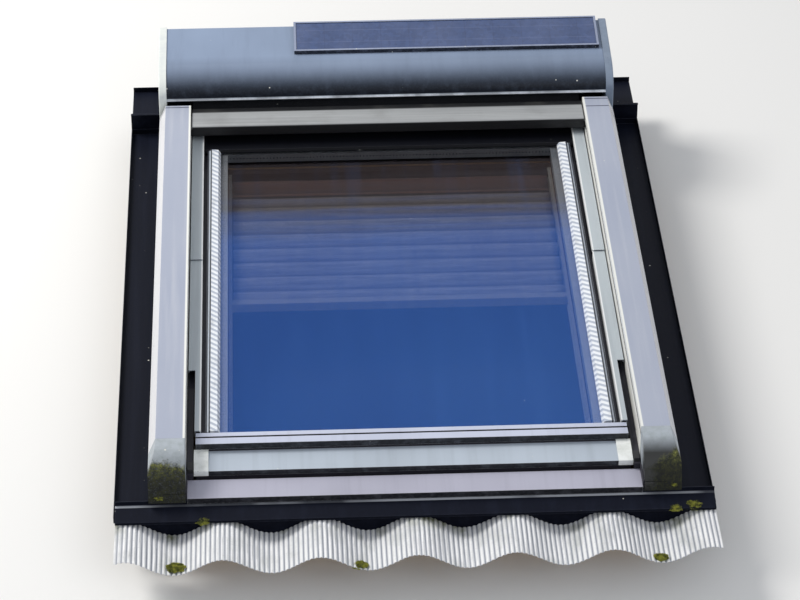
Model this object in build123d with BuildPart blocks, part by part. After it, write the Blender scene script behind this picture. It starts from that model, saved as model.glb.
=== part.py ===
from build123d import *
from math import atan2, ceil, cos, hypot, pi, sqrt
import os

# Centre-pivot roof window with an outside roller shutter, lying in its own plane.
# +X is to the right seen from the eaves, +Y runs up the slope, +Z points out to the sky.
# The origin is the middle of the window, on the plane of the installation brackets.
# All sizes are in millimetres.

# Timber frame
frame_width = 780.0
frame_length = 1178.0
frame_wall = 45.0
frame_base = -30.0
frame_side_level = 100.0
frame_bottom_level = 88.5
frame_top_level = 119.2
lining_rebate_width = 12.0
lining_rebate_depth = 10.0

# Timber sash
side_gap = 4.0
swing_gap = 9.0
sash_base = 28.0
sash_level = 104.0
sash_stile = 51.0
sash_bottom_rail = 95.0
sash_top_rail = 133.0
sash_front_step = 50.0
sash_step_drop = 3.5

# Pivot
pivot_y = 40.0
pivot_level = 110.0
pivot_pin_radius = 4.0
hinge_plate_length = 100.0
hinge_plate_foot = 50.0
hinge_ear_radius = 6.0
frame_plate = 6.0
sash_plate = 5.0
running_clearance = 0.05

# Glass unit
pane = 4.0
cavity = 16.0
side_bearing = 21.0
end_bearing = 30.0
glass_clearance = 3.0
spacer_inset = 2.0
spacer_width = 18.0
side_sight = 8.0
end_sight = 20.0

# Sheet covers on sash and frame
sheet = 1.5
bead_width = 23.0
bead_rise = 9.0
cover_inset = 8.0
cover_level = 118.0
cover_start = 3.0
cover_lap = 2.0
cover_swing_room = 11.0
cover_lift = 1.2
wide_cover_foot = 305.0
narrow_cover_width = 10.0
lip_depth = 35.0
lip_groove_setback = 16.0
lip_rise = 12.0
bottom_cover_overhang = 3.0
bottom_cover_lip = 9.0
end_piece_width = 23.0
end_piece_rise = 5.0
buffer_length = 20.0
buffer_rise = 6.0
frame_cover_lip = 8.5
top_cover_reach = 44.0
sash_top_cover_level = 114.0

# Guide rails of the shutter
rail_inset = 34.0
rail_face = 46.0
rail_flank = 12.0
rail_level = 155.0
rail_flank_level = 126.0
rail_wall = 2.0
rail_foot_setback = 68.0
rail_head_setback = 84.0
rail_gap = 2.0
slot_level = 136.0
slot_height = 14.0
guide_clearance = 0.5
cap_drop = 71.0
cap_reach = 73.0
cap_wall = 2.5
cap_spigot = 14.0
cap_clearance = 0.4

# Shutter cassette
cassette_lip_setback = 76.0
cassette_lip_level = 161.0
cassette_nose_rise = 4.0
cassette_curve_length = 60.0
cassette_curve_rise = 37.0
cassette_overhang = 100.0
cassette_slope_rise = 13.0
cassette_slope_length = 110.0
cassette_corner = 6.0
cassette_seam_level = 150.0
cassette_floor_level = 104.0
cassette_step_overhang = 8.0
cassette_floor_setback = 49.0
cap_plate = 14.0
cap_proud = 2.0
roll_overhang = 51.0
roll_level = 148.0
roll_radius = 40.0
tube_radius = 25.0
tube_wall = 2.5
motor_radius = 21.0
motor_length = 340.0
journal_length = 14.0
roll_clearance = 0.2

# Shutter curtain and end bar
bar_setback = 152.0
bar_height = 65.0
bar_level = 150.0
bar_depth = 21.0
bar_wall = 1.8
bar_corner = 3.0
bar_side_gap = 2.5
tongue_reach = 16.0
slat_pitch = 24.0
slat_depth = 8.0
slat_groove = 2.0
soft_gap = 0.3

# Solar panel on the cassette
panel_length = 560.0
panel_inset = 6.0
panel_width = 91.0
panel_offset = 24.0
panel_height = 8.0
panel_rim = 4.0
panel_cell_drop = 1.2
battery_length = 220.0
battery_width = 26.0
battery_height = 18.0
battery_offset = 168.0

# Flashing
flashing_sheet = 1.2
sill_level = 79.0
sill_reach = 32.0
sill_fall = 9.5
sill_upstand = 7.0
sill_inset = 4.0
skirt_level = 34.0
fold_gap = 0.3
wave_pitch = 150.0
wave_rise = 27.0
wave_crest_level = 65.0
pleat_pitch = 7.5
pleat_depth = 2.0
apron_sheet = 1.0
apron_tuck = 9.0
apron_length = 92.0
gutter_level = 44.0
gutter_width = 80.0
gutter_edge_rise = 12.0
upstand_level = 88.0
upstand_offset = 4.0
head_level = 50.0
head_length = 150.0
head_edge_rise = 10.0

# Installation brackets
bracket_width = 60.0
bracket_sheet = 3.0
bracket_flange = 65.0
bracket_upright = 42.0
bracket_setback = 59.0
bracket_hole_offset = 40.0
bracket_hole_radius = 3.5
screw_radius = 2.5
screw_head_radius = 4.5
screw_head = 2.5
screw_head_taper = 25.0
screw_length = 30.0
screw_low_level = 14.0
screw_spacing = 17.0
screw_offset = 16.0
screw_clearance = 0.1

# Room side
vent_half = 220.0
vent_slot = 10.0
vent_setback = 20.0
flap_hinge_setback = 7.0
flap_width = 24.0
flap_sheet = 3.0
flap_pin_radius = 1.5
flap_drop = 2.5
handle_setback = 41.0
handle_level = 10.0
handle_hub_radius = 5.0
handle_pin_radius = 2.5
handle_reach = 32.0
handle_grip_radius = 6.0
handle_web = 3.0
bracket_block = 10.0
bracket_gap = 1.0
pin_engagement = 8.0
lock_half = 40.0
lock_depth = 9.0
lock_low = 72.0
lock_high = 98.0
lock_proud = 2.0
strike_sheet = 3.0
strike_half = 30.0
bolt_x = 150.0
bolt_level = 40.0
bolt_radius = 4.0
bolt_length = 50.0
bolt_travel = 15.0
bolt_recess = 1.0
bolt_knob_radius = 3.0
bolt_knob_setback = 33.0
bolt_knob_level = 18.0
bolt_clearance = 0.1
bolt_socket_clearance = 0.6
bolt_socket_depth = 12.0
seal_low = 60.0
seal_height = 6.0
seal_gap = 0.5

# Pleated blind under the glass
blind_low = 60.0
blind_high = 80.0
blind_head = 16.0
blind_head_gap = 2.0
guide_width = 6.0
blind_bar_height = 14.0
blind_hang = 437.0
blind_side_gap = 2.0
blind_pleats = 9
blind_pleat_depth = 11.0
blind_cloth = 0.6

# Places worked out from the sizes above
frame_half = frame_width / 2
frame_inner = frame_half - frame_wall
frame_end = frame_length / 2
frame_end_inner = frame_end - frame_wall
sash_half = frame_inner - side_gap
sash_end = frame_end_inner - swing_gap
sash_inner = sash_half - sash_stile
sash_low = sash_bottom_rail - sash_end
sash_high = sash_end - sash_top_rail
glass_half = sash_inner + side_bearing
glass_low = sash_low - end_bearing
glass_high = sash_high + end_bearing
glass_top = sash_level + pane
glass_seat = glass_top - 2 * pane - cavity
sight_half = glass_half - side_sight
sight_low = glass_low + end_sight
sight_high = glass_high - end_sight
front_step_y = sash_front_step - sash_end
front_step_level = sash_level - sash_step_drop
rail_inner = frame_half - rail_inset
rail_low = rail_foot_setback - frame_end
rail_high = frame_end - rail_head_setback
wide_cover_low = wide_cover_foot - frame_end
cover_inner = sash_half - cover_inset
cover_outer = rail_inner - rail_gap
upper_cover_level = cover_level + cover_lift + sheet
bead_outer = sight_half + bead_width
rail_face_outer = rail_inner + rail_face
rail_outer = rail_face_outer + rail_flank
shell_half = rail_outer - cap_plate
cassette_lip_y = frame_end - cassette_lip_setback
cassette_back_y = frame_end + cassette_overhang
cassette_step_y = frame_end + cassette_step_overhang
cassette_floor_front = frame_end - cassette_floor_setback
roll_y = frame_end + roll_overhang
bar_low = frame_end - bar_setback
panel_right = shell_half - panel_inset
panel_left = panel_right - panel_length
battery_left = panel_left - battery_offset
gutter_edge = frame_half + gutter_width
sill_half = gutter_edge - sill_inset
sill_front = -frame_end - flashing_sheet - sill_reach
apron_high = sill_front + apron_tuck
apron_low = sill_front - apron_length + flashing_sheet
head_wall = frame_end + sheet + upstand_offset
bracket_y = frame_end - bracket_setback
bracket_hole_x = frame_half + bracket_hole_offset
screw_levels = (screw_low_level, screw_low_level + screw_spacing)
vent_y = sash_end - vent_setback
flap_hinge_y = sash_end - flap_hinge_setback
handle_y = sash_end - handle_setback
blind_bar_y = sash_high - blind_hang
bar_high = bar_low + bar_height
bar_half = rail_inner - bar_side_gap
tongue_half_height = slot_height / 2 - guide_clearance
curve_start_y = cassette_lip_y + cassette_curve_length
curve_start_level = cassette_lip_level + cassette_nose_rise + cassette_curve_rise
base_level = frame_top_level + sheet
top_cover_front = frame_end_inner - top_cover_reach

os.makedirs("parts", exist_ok=True)


def keep(piece, name):
    """Label one finished sub-part and write its STEP file."""
    piece.label = name
    export_step(piece, f"parts/{name}.step")


def across(x):
    """Plane for a section drawn as (y, z) and extruded towards +X."""
    return Plane.YZ.offset(x)


def along(y):
    """Plane for a section drawn as (x, z) and extruded towards -Y."""
    return Plane.XZ.offset(-y)


def span(side, near, far):
    """Range between two distances from the centre line, on the given side."""
    return tuple(sorted((side * near, side * far)))


def block(x_range, y_range, z_range, mode=Mode.ADD):
    """Box between two values on each axis, in the part being built."""
    ranges = (x_range, y_range, z_range)
    sizes = [high - low for low, high in ranges]
    with Locations(tuple((low + high) / 2 for low, high in ranges)):
        Box(*sizes, mode=mode)


def outline(points):
    """Closed straight-sided face in the sketch being built."""
    Polygon(*points, align=None)


def folded(points, thickness):
    """Outline of a folded sheet: the given run and the same run moved to its left."""
    moved = []
    last = len(points) - 1
    for i, (u, v) in enumerate(points):
        before = points[i - 1] if i > 0 else None
        after = points[i + 1] if i < last else None
        normals = []
        for start, stop in ((before, (u, v)), ((u, v), after)):
            if start is not None and stop is not None:
                run = hypot(stop[0] - start[0], stop[1] - start[1])
                normals.append((-(stop[1] - start[1]) / run, (stop[0] - start[0]) / run))
        nu = sum(n[0] for n in normals)
        nv = sum(n[1] for n in normals)
        share = len(normals) * thickness / (nu * nu + nv * nv) if len(normals) == 2 else thickness
        moved.append((u + nu * share, v + nv * share))
    return [*points, *reversed(moved)]


def make_frame_side(side):
    """Long frame member with its lining rebate, pivot mortise and notch for the bottom cover."""
    x_range = span(side, frame_inner, frame_half)
    with BuildPart() as member:
        block(x_range, (-frame_end, frame_end), (frame_base, frame_side_level))
        rebate_x = span(side, frame_inner, frame_inner + lining_rebate_width)
        block(
            rebate_x,
            (-frame_end_inner, frame_end_inner),
            (frame_base, frame_base + lining_rebate_depth),
            mode=Mode.SUBTRACT,
        )
        block(
            span(side, frame_inner, frame_inner + frame_plate),
            (pivot_y - hinge_plate_length / 2, pivot_y + hinge_plate_length / 2),
            (hinge_plate_foot, frame_side_level),
            mode=Mode.SUBTRACT,
        )
        block(
            span(side, frame_inner, cover_outer + running_clearance),
            (-frame_end, -frame_end_inner),
            (frame_bottom_level, frame_side_level),
            mode=Mode.SUBTRACT,
        )
        for y in (-bracket_y, bracket_y):
            for offset_y in (-screw_offset, screw_offset):
                for level in screw_levels:
                    with BuildSketch(Plane.YZ.offset(side * (frame_half - screw_length))):
                        with Locations((y + offset_y, level)):
                            Circle(screw_radius + screw_clearance)
                    extrude(amount=side * screw_length, mode=Mode.SUBTRACT)
    return member.part


def make_frame_bottom():
    """Lower frame member, with the socket for the barrel bolt."""
    with BuildPart() as member:
        block(
            (-frame_inner, frame_inner),
            (-frame_end, -frame_end_inner),
            (frame_base, frame_bottom_level),
        )
        block(
            (-frame_inner, frame_inner),
            (-frame_end_inner - lining_rebate_width, -frame_end_inner),
            (frame_base, frame_base + lining_rebate_depth),
            mode=Mode.SUBTRACT,
        )
        with BuildSketch(along(-frame_end_inner)):
            with Locations((bolt_x, bolt_level)):
                Circle(bolt_radius + bolt_socket_clearance)
        extrude(amount=bolt_socket_depth, mode=Mode.SUBTRACT)
    return member.part


def make_frame_top():
    """Upper frame member, taller than the sides, with a pocket for the strike plate."""
    with BuildPart() as member:
        block(
            (-frame_inner, frame_inner),
            (frame_end_inner, frame_end),
            (frame_base, frame_top_level),
        )
        block(
            (-frame_inner, frame_inner),
            (frame_end_inner, frame_end_inner + lining_rebate_width),
            (frame_base, frame_base + lining_rebate_depth),
            mode=Mode.SUBTRACT,
        )
        block(
            (-strike_half, strike_half),
            (frame_end_inner, frame_end_inner + strike_sheet),
            (lock_low, lock_high),
            mode=Mode.SUBTRACT,
        )
    return member.part


def make_strike_plate():
    """Steel plate let into the upper frame member, which the lock catches on."""
    with BuildPart() as plate:
        block(
            (-strike_half, strike_half),
            (frame_end_inner, frame_end_inner + strike_sheet),
            (lock_low, lock_high),
        )
        slot_half = strike_half / 2
        middle = (lock_low + lock_high) / 2
        block(
            (-slot_half, slot_half),
            (frame_end_inner, frame_end_inner + strike_sheet),
            (middle - strike_sheet, middle + strike_sheet),
            mode=Mode.SUBTRACT,
        )
    return plate.part


def make_frame_hinges():
    """Pivot plates let into the frame, each with an ear and its fixed pin."""
    with BuildPart() as plates:
        for side in (-1, 1):
            x_range = span(side, frame_inner, frame_inner + frame_plate)
            block(
                x_range,
                (pivot_y - hinge_plate_length / 2, pivot_y + hinge_plate_length / 2),
                (hinge_plate_foot, frame_side_level),
            )
            block(
                x_range,
                (pivot_y - hinge_ear_radius, pivot_y + hinge_ear_radius),
                (frame_side_level, pivot_level),
            )
            with BuildSketch(Plane.YZ.offset(side * frame_inner)):
                with Locations((pivot_y, pivot_level)):
                    Circle(hinge_ear_radius)
            extrude(amount=side * frame_plate)
            pin_end = sash_half - sash_plate - rail_gap / 2
            with BuildSketch(Plane.YZ.offset(side * pin_end)):
                with Locations((pivot_y, pivot_level)):
                    Circle(pivot_pin_radius)
            extrude(amount=side * (frame_inner + frame_plate / 2 - pin_end))
    return plates.part


def make_sash_hinges():
    """Pivot plates let into the sash, each with an ear that turns on the pin."""
    with BuildPart() as plates:
        for side in (-1, 1):
            x_range = span(side, sash_half - sash_plate, sash_half)
            block(
                x_range,
                (pivot_y - hinge_plate_length / 2, pivot_y + hinge_plate_length / 2),
                (hinge_plate_foot, sash_level),
            )
            block(
                x_range,
                (pivot_y - hinge_ear_radius, pivot_y + hinge_ear_radius),
                (sash_level, pivot_level),
            )
            with BuildSketch(Plane.YZ.offset(side * (sash_half - sash_plate))):
                with Locations((pivot_y, pivot_level)):
                    Circle(hinge_ear_radius)
            extrude(amount=side * sash_plate)
            with BuildSketch(Plane.YZ.offset(side * (sash_half - sash_plate))):
                with Locations((pivot_y, pivot_level)):
                    Circle(pivot_pin_radius + running_clearance)
            extrude(amount=side * sash_plate, mode=Mode.SUBTRACT)
    return plates.part


def make_sash_stile(side):
    """Long sash member with its glass rebate and the mortise of the pivot plate."""
    with BuildPart() as stile:
        block(span(side, sash_inner, sash_half), (-sash_end, sash_end), (sash_base, sash_level))
        block(
            span(side, sash_inner, glass_half + glass_clearance),
            (glass_low - glass_clearance, glass_high + glass_clearance),
            (glass_seat, sash_level),
            mode=Mode.SUBTRACT,
        )
        block(
            span(side, sash_inner, sash_half),
            (-sash_end, front_step_y),
            (front_step_level, sash_level),
            mode=Mode.SUBTRACT,
        )
        block(
            span(side, sash_half - sash_plate, sash_half),
            (pivot_y - hinge_plate_length / 2, pivot_y + hinge_plate_length / 2),
            (hinge_plate_foot, sash_level),
            mode=Mode.SUBTRACT,
        )
    return stile.part


def make_sash_bottom():
    """Lower sash member, with the bore and the slot of the barrel bolt."""
    with BuildPart() as rail:
        block((-sash_inner, sash_inner), (-sash_end, sash_low), (sash_base, sash_level))
        block(
            (-sash_inner, sash_inner),
            (glass_low - glass_clearance, sash_low),
            (glass_seat, sash_level),
            mode=Mode.SUBTRACT,
        )
        block(
            (-sash_inner, sash_inner),
            (-sash_end, front_step_y),
            (front_step_level, sash_level),
            mode=Mode.SUBTRACT,
        )
        bore = bolt_recess + bolt_length + bolt_clearance
        with BuildSketch(along(bore - sash_end)):
            with Locations((bolt_x, bolt_level)):
                Circle(bolt_radius + bolt_clearance)
        extrude(amount=bore, mode=Mode.SUBTRACT)
        knob_y = bolt_recess + bolt_knob_setback - sash_end
        reach = bolt_knob_radius + bolt_clearance
        block(
            (bolt_x - reach, bolt_x + reach),
            (knob_y - bolt_travel - reach, knob_y + reach),
            (sash_base, bolt_level),
            mode=Mode.SUBTRACT,
        )
    return rail.part


def make_sash_top():
    """Upper sash member, with the ventilation slot and the mortise of the lock."""
    with BuildPart() as rail:
        block((-sash_inner, sash_inner), (sash_high, sash_end), (sash_base, sash_level))
        block(
            (-sash_inner, sash_inner),
            (sash_high, glass_high + glass_clearance),
            (glass_seat, sash_level),
            mode=Mode.SUBTRACT,
        )
        block(
            (-vent_half, vent_half),
            (vent_y - vent_slot / 2, vent_y + vent_slot / 2),
            (sash_base, sash_level),
            mode=Mode.SUBTRACT,
        )
        block(
            (-lock_half, lock_half),
            (sash_end - lock_depth, sash_end),
            (lock_low, lock_high),
            mode=Mode.SUBTRACT,
        )
    return rail.part


def make_lock_case():
    """Lock case in the upper edge of the sash, with its catch standing proud."""
    with BuildPart() as case:
        block((-lock_half, lock_half), (sash_end - lock_depth, sash_end), (lock_low, lock_high))
        middle = (lock_low + lock_high) / 2
        block(
            (-lock_half / 4, lock_half / 4),
            (sash_end, sash_end + lock_proud),
            (middle - lock_proud, middle + lock_proud),
        )
    return case.part


def make_barrel_bolt():
    """Round bolt in the lower sash member, with its knob on the room side."""
    tip = bolt_recess - sash_end
    with BuildPart() as bolt:
        with BuildSketch(along(tip + bolt_length)):
            with Locations((bolt_x, bolt_level)):
                Circle(bolt_radius)
        extrude(amount=bolt_length)
        with BuildSketch(Plane.XY.offset(bolt_knob_level)):
            with Locations((bolt_x, tip + bolt_knob_setback)):
                Circle(bolt_knob_radius)
        extrude(amount=bolt_level - bolt_knob_level)
    return bolt.part


def make_pane(low):
    """One pane of the sealed glass unit, with its lower face at the given level."""
    with BuildPart() as glass:
        block((-glass_half, glass_half), (glass_low, glass_high), (low, low + pane))
    return glass.part


def make_spacer():
    """Edge spacer that keeps the panes apart."""
    edge = spacer_inset
    inner = spacer_inset + spacer_width
    level = (glass_seat + pane, glass_seat + pane + cavity)
    with BuildPart() as ring:
        block(
            (edge - glass_half, glass_half - edge),
            (glass_low + edge, glass_high - edge),
            level,
        )
        block(
            (inner - glass_half, glass_half - inner),
            (glass_low + inner, glass_high - inner),
            level,
            mode=Mode.SUBTRACT,
        )
    return ring.part


def make_seal():
    """Rubber seal around the sash edge."""
    reach = side_gap - seal_gap
    level = (seal_low, seal_low + seal_height)
    with BuildPart() as ring:
        block((-sash_half - reach, sash_half + reach), (-sash_end - reach, sash_end + reach), level)
        block((-sash_half, sash_half), (-sash_end, sash_end), level, mode=Mode.SUBTRACT)
    return ring.part


def make_side_bead(side):
    """Aluminium glazing bead along one stile."""
    top = glass_top + bead_rise
    seat = glass_half + glass_clearance + running_clearance
    points = [
        (sight_half, glass_top),
        (sight_half, glass_top + sheet),
        (sight_half + side_sight / 2, top - sheet),
        (bead_outer - bead_width / 4, top),
        (bead_outer - bead_width / 5, top - 2 * sheet),
        (bead_outer, top - 2 * sheet),
        (bead_outer, sash_level),
        (seat, sash_level),
        (seat, glass_top),
    ]
    with BuildPart() as bead:
        with BuildSketch(along(sight_high)):
            outline([(side * x, z) for x, z in points])
        extrude(amount=sight_high - sight_low)
    return bead.part


def make_bottom_bead():
    """Glazing bead along the lower edge of the glass, with its grooved outer lip."""
    front = sight_low - lip_depth
    top = sash_level + lip_rise
    seat = glass_low - glass_clearance - running_clearance
    groove_y = sight_low - lip_groove_setback
    points = [
        (sight_low, glass_top),
        (sight_low, glass_top + sheet),
        (sight_low - 2 * sheet, top - sheet),
        (groove_y + 2 * sheet, top - sheet),
        (groove_y + sheet, top - 3 * sheet),
        (groove_y - sheet, top - 3 * sheet),
        (groove_y - 2 * sheet, top),
        (front, top),
        (front, sash_level + sheet),
        (front + sheet, sash_level + sheet),
        (front + sheet, sash_level),
        (seat, sash_level),
        (seat, glass_top),
    ]
    with BuildPart() as bead:
        with BuildSketch(across(-sash_half)):
            outline(points)
        extrude(amount=2 * sash_half)
    return bead.part


def make_sash_bottom_cover():
    """Sheet cover on the lower sash member, the first of the steps below the glass."""
    low = -sash_end - bottom_cover_overhang
    high = front_step_y - running_clearance
    level = front_step_level
    run = [
        (low + sheet, level + sheet - bottom_cover_lip),
        (low + sheet, level),
        (high, level),
    ]
    half = cover_outer - end_piece_width - buffer_length / 2
    with BuildPart() as cover:
        with BuildSketch(across(-half)):
            outline(folded(run, sheet))
        extrude(amount=2 * half)
    return cover.part


def make_end_pieces():
    """Moulded end pieces that close the sash bottom cover on both sides."""
    near = cover_outer - end_piece_width - buffer_length / 2
    low = -sash_end - bottom_cover_overhang
    high = front_step_y - running_clearance
    level = front_step_level
    with BuildPart() as pieces:
        for side in (-1, 1):
            start = min(side * near, side * (near + end_piece_width))
            with BuildSketch(across(start)):
                outline(
                    [
                        (low, level),
                        (low, level + sheet),
                        (high - end_piece_width / 2, level + end_piece_rise),
                        (high, level + end_piece_rise),
                        (high, level),
                    ]
                )
            extrude(amount=end_piece_width)
            block(
                (start, start + end_piece_width),
                (low, low + sheet),
                (level + sheet - bottom_cover_lip, level),
            )
    return pieces.part


def make_buffers():
    """Rubber buffers on the frame, beside the lower corners of the sash."""
    low = -sash_end - bottom_cover_overhang
    with BuildPart() as buffers:
        for side in (-1, 1):
            block(
                span(side, frame_inner + running_clearance, cover_outer),
                (low, low + buffer_length),
                (frame_side_level, frame_side_level + buffer_rise),
            )
        fillet(buffers.edges().filter_by(Axis.Z), radius=buffer_rise / 4)
    return buffers.part


def make_sash_top_cover():
    """Sheet cover on the upper sash member, lying on the glass edge."""
    back = vent_y - vent_slot / 2 - sheet
    half = cover_inner - running_clearance
    foot = glass_high - glass_clearance
    points = [
        (sight_high + running_clearance, glass_top),
        (sight_high + running_clearance, glass_top + sheet),
        (sight_high + 2 * sheet, sash_top_cover_level),
        (back, sash_top_cover_level),
        (back, sash_level),
        (back - sheet, sash_level),
        (back - sheet, sash_top_cover_level - sheet),
        (foot, sash_top_cover_level - sheet),
        (foot, glass_top),
    ]
    with BuildPart() as cover:
        with BuildSketch(across(-half)):
            outline(points)
        extrude(amount=2 * half)
    return cover.part


def make_lower_side_cover(side):
    """Sheet cover on the sash below the pivot, wide at first and narrow at the foot."""
    lip = span(side, cover_inner, cover_inner + sheet)
    narrow_low = sight_low + running_clearance
    high = pivot_y + cover_start + cover_lap
    with BuildPart() as cover:
        block(
            span(side, cover_inner, cover_outer),
            (wide_cover_low, high),
            (cover_level - sheet, cover_level),
        )
        block(
            span(side, cover_inner, cover_inner + narrow_cover_width),
            (narrow_low, wide_cover_low),
            (cover_level - sheet, cover_level),
        )
        block(lip, (narrow_low, pivot_y), (sash_level, cover_level - sheet))
        edge = cover_inner + narrow_cover_width
        block(
            span(side, edge - sheet, edge),
            (narrow_low, wide_cover_low),
            (sash_level + sheet, cover_level),
        )
        block(
            span(side, cover_outer - sheet, cover_outer),
            (wide_cover_low, pivot_y - 2 * hinge_ear_radius),
            (cover_level - 3 * sheet, cover_level),
        )
        block(
            span(side, cover_inner, edge),
            (sight_low - sheet, narrow_low),
            (sash_level + lip_rise, cover_level),
        )
    return cover.part


def make_upper_side_cover(side):
    """Sheet cover on the frame above the pivot, lapping over the lower one."""
    low = pivot_y + cover_start
    high = top_cover_front - running_clearance
    foot_low = pivot_y + hinge_plate_length / 2
    with BuildPart() as cover:
        block(
            span(side, cover_inner, cover_outer),
            (low, high),
            (upper_cover_level - sheet, upper_cover_level),
        )
        block(
            span(side, cover_inner, cover_inner + sheet),
            (pivot_y + cover_swing_room, high),
            (upper_cover_level - bead_rise, upper_cover_level - sheet),
        )
        block(
            span(side, cover_outer - sheet, cover_outer),
            (foot_low, high),
            (frame_side_level, upper_cover_level - sheet),
        )
    return cover.part


def make_frame_top_cover():
    """Sheet cover on the upper frame member, reaching over the top of the sash."""
    run = [
        (top_cover_front, upper_cover_level - 2 * sheet - cover_lift),
        (top_cover_front, frame_top_level + sheet),
        (frame_end + sheet, frame_top_level + sheet),
        (frame_end + sheet, frame_top_level - 2 * bead_rise),
    ]
    mirrored_run = [(-y, z) for y, z in run]
    section = [(-y, z) for y, z in folded(mirrored_run, sheet)]
    with BuildPart() as cover:
        with BuildSketch(across(-cover_outer)):
            outline(section)
        extrude(amount=2 * cover_outer)
    return cover.part


def make_frame_bottom_cover():
    """Sheet cover on the lower frame member, the second step below the glass."""
    front = -frame_end - flashing_sheet
    run = [
        (front, frame_bottom_level - frame_cover_lip),
        (front, frame_bottom_level),
        (-frame_end_inner, frame_bottom_level),
    ]
    with BuildPart() as cover:
        with BuildSketch(across(-cover_outer)):
            outline(folded(run, sheet))
        extrude(amount=2 * cover_outer)
    return cover.part


def rail_outline(side, inset):
    """Section of a guide rail as (x, z) points, moved inwards by a wall."""
    low = frame_side_level + inset
    run_x = rail_flank
    run_z = rail_level - rail_flank_level
    shift = inset * (hypot(run_x, run_z) - run_x) / run_z
    points = [
        (rail_inner + inset, low),
        (rail_inner + inset, rail_level - inset),
        (rail_face_outer - shift, rail_level - inset),
        (rail_outer - inset, rail_flank_level - shift * run_x / run_z),
        (rail_outer - inset, low),
    ]
    return [(side * x, z) for x, z in points]


def make_rail(side):
    """Hollow guide rail with a bevelled outer flank and a slot for the curtain."""
    with BuildPart() as rail:
        with BuildSketch(along(rail_high)):
            outline(rail_outline(side, 0))
        extrude(amount=rail_high - rail_low)
        with BuildSketch(along(rail_high)):
            outline(rail_outline(side, rail_wall))
        extrude(amount=rail_high - rail_low, mode=Mode.SUBTRACT)
        block(
            span(side, rail_inner, rail_inner + rail_wall),
            (rail_low, rail_high),
            (slot_level - slot_height / 2, slot_level + slot_height / 2),
            mode=Mode.SUBTRACT,
        )
    return rail.part


def cap_side_view():
    """Rounded side view of a rail end cap, as (y, z)."""
    foot = rail_level - cap_drop
    with BuildSketch() as view:
        with BuildLine():
            Line((rail_low, foot), (rail_low, rail_level))
            EllipticalCenterArc((rail_low, foot), cap_reach, cap_drop, start_angle=90, arc_size=90)
            Line((rail_low - cap_reach, foot), (rail_low, foot))
        make_face()
    return view.sketch


def make_rail_cap(side):
    """Moulded end cap that rounds the rail off and hooks over the end of the frame."""
    foot = rail_level - cap_drop
    with BuildPart() as cap:
        with BuildSketch(along(rail_low)):
            outline([*rail_outline(side, 0)[1:4], (side * rail_outer, foot), (side * rail_inner, foot)])
        extrude(amount=cap_reach)
        with BuildSketch(across(min(side * rail_inner, side * rail_outer))):
            add(cap_side_view())
        extrude(amount=rail_face + rail_flank, mode=Mode.INTERSECT)
        inner = span(side, rail_inner + cap_wall, rail_outer - cap_wall - rail_flank)
        block(
            inner,
            (rail_low - cap_reach / 2, rail_low),
            (frame_side_level + cap_wall, rail_level - cap_drop / 4),
            mode=Mode.SUBTRACT,
        )
        behind_lip = (-frame_end - flashing_sheet - sheet - cap_clearance, rail_low)
        block(
            span(side, rail_inner, frame_half + cap_clearance),
            behind_lip,
            (foot, frame_side_level + cap_clearance),
            mode=Mode.SUBTRACT,
        )
        block(
            span(side, frame_half, rail_outer),
            behind_lip,
            (foot, upstand_level + cap_clearance),
            mode=Mode.SUBTRACT,
        )
        wall = rail_wall + cap_clearance
        spigot = [
            (rail_inner + wall + tongue_reach, frame_side_level + wall),
            (rail_inner + wall + tongue_reach, rail_level - wall),
            (rail_face_outer - wall, rail_level - wall),
            (rail_face_outer - wall, frame_side_level + wall),
        ]
        with BuildSketch(along(rail_low + cap_spigot)):
            outline([(side * x, z) for x, z in spigot])
        extrude(amount=cap_spigot + cap_wall)
    return cap.part


def cassette_section(growth):
    """Closed side view of the cassette, grown or shrunk by a distance, as (y, z)."""
    slope = cassette_slope_rise / cassette_slope_length
    nose_level = cassette_lip_level + cassette_nose_rise
    front = cassette_lip_y - growth
    back = cassette_back_y + growth
    floor = cassette_floor_level - growth
    step_y = cassette_step_y - growth
    top_level = curve_start_level + growth
    bend_y = back - cassette_corner
    bend_level = top_level + slope * (bend_y - curve_start_y)
    corner_cut = cassette_corner * (1 - sqrt(0.5))
    with BuildSketch() as section:
        with BuildLine():
            EllipticalCenterArc(
                (curve_start_y, nose_level),
                cassette_curve_length + growth,
                cassette_curve_rise + growth,
                start_angle=90,
                arc_size=90,
            )
            Line((curve_start_y, top_level), (bend_y, bend_level))
            ThreePointArc(
                (bend_y, bend_level),
                (back - corner_cut, bend_level - corner_cut),
                (back, bend_level - cassette_corner),
            )
            Polyline(
                (back, bend_level - cassette_corner),
                (back, floor),
                (step_y, floor),
                (step_y, base_level - growth),
                (front, base_level - growth),
                (front, nose_level),
            )
        make_face()
    return section.sketch


def make_cassette_cover():
    """Curved aluminium hood of the shutter cassette."""
    with BuildPart() as hood:
        with BuildSketch(across(-shell_half)):
            add(cassette_section(0))
        extrude(amount=2 * shell_half)
        with BuildSketch(across(-shell_half)):
            add(cassette_section(-sheet))
        extrude(amount=2 * shell_half, mode=Mode.SUBTRACT)
        block(
            (-shell_half, shell_half),
            (cassette_lip_y - 1, curve_start_y),
            (cassette_floor_level - 1, cassette_lip_level),
            mode=Mode.SUBTRACT,
        )
        block(
            (-shell_half, shell_half),
            (cassette_lip_y - 1, cassette_back_y + 1),
            (cassette_floor_level - 1, cassette_seam_level),
            mode=Mode.SUBTRACT,
        )
        block(
            (-shell_half, shell_half),
            (cassette_lip_y - 2 * sheet, cassette_lip_y + 4 * sheet),
            (cassette_lip_level, cassette_lip_level + sheet),
        )
    return hood.part


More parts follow.
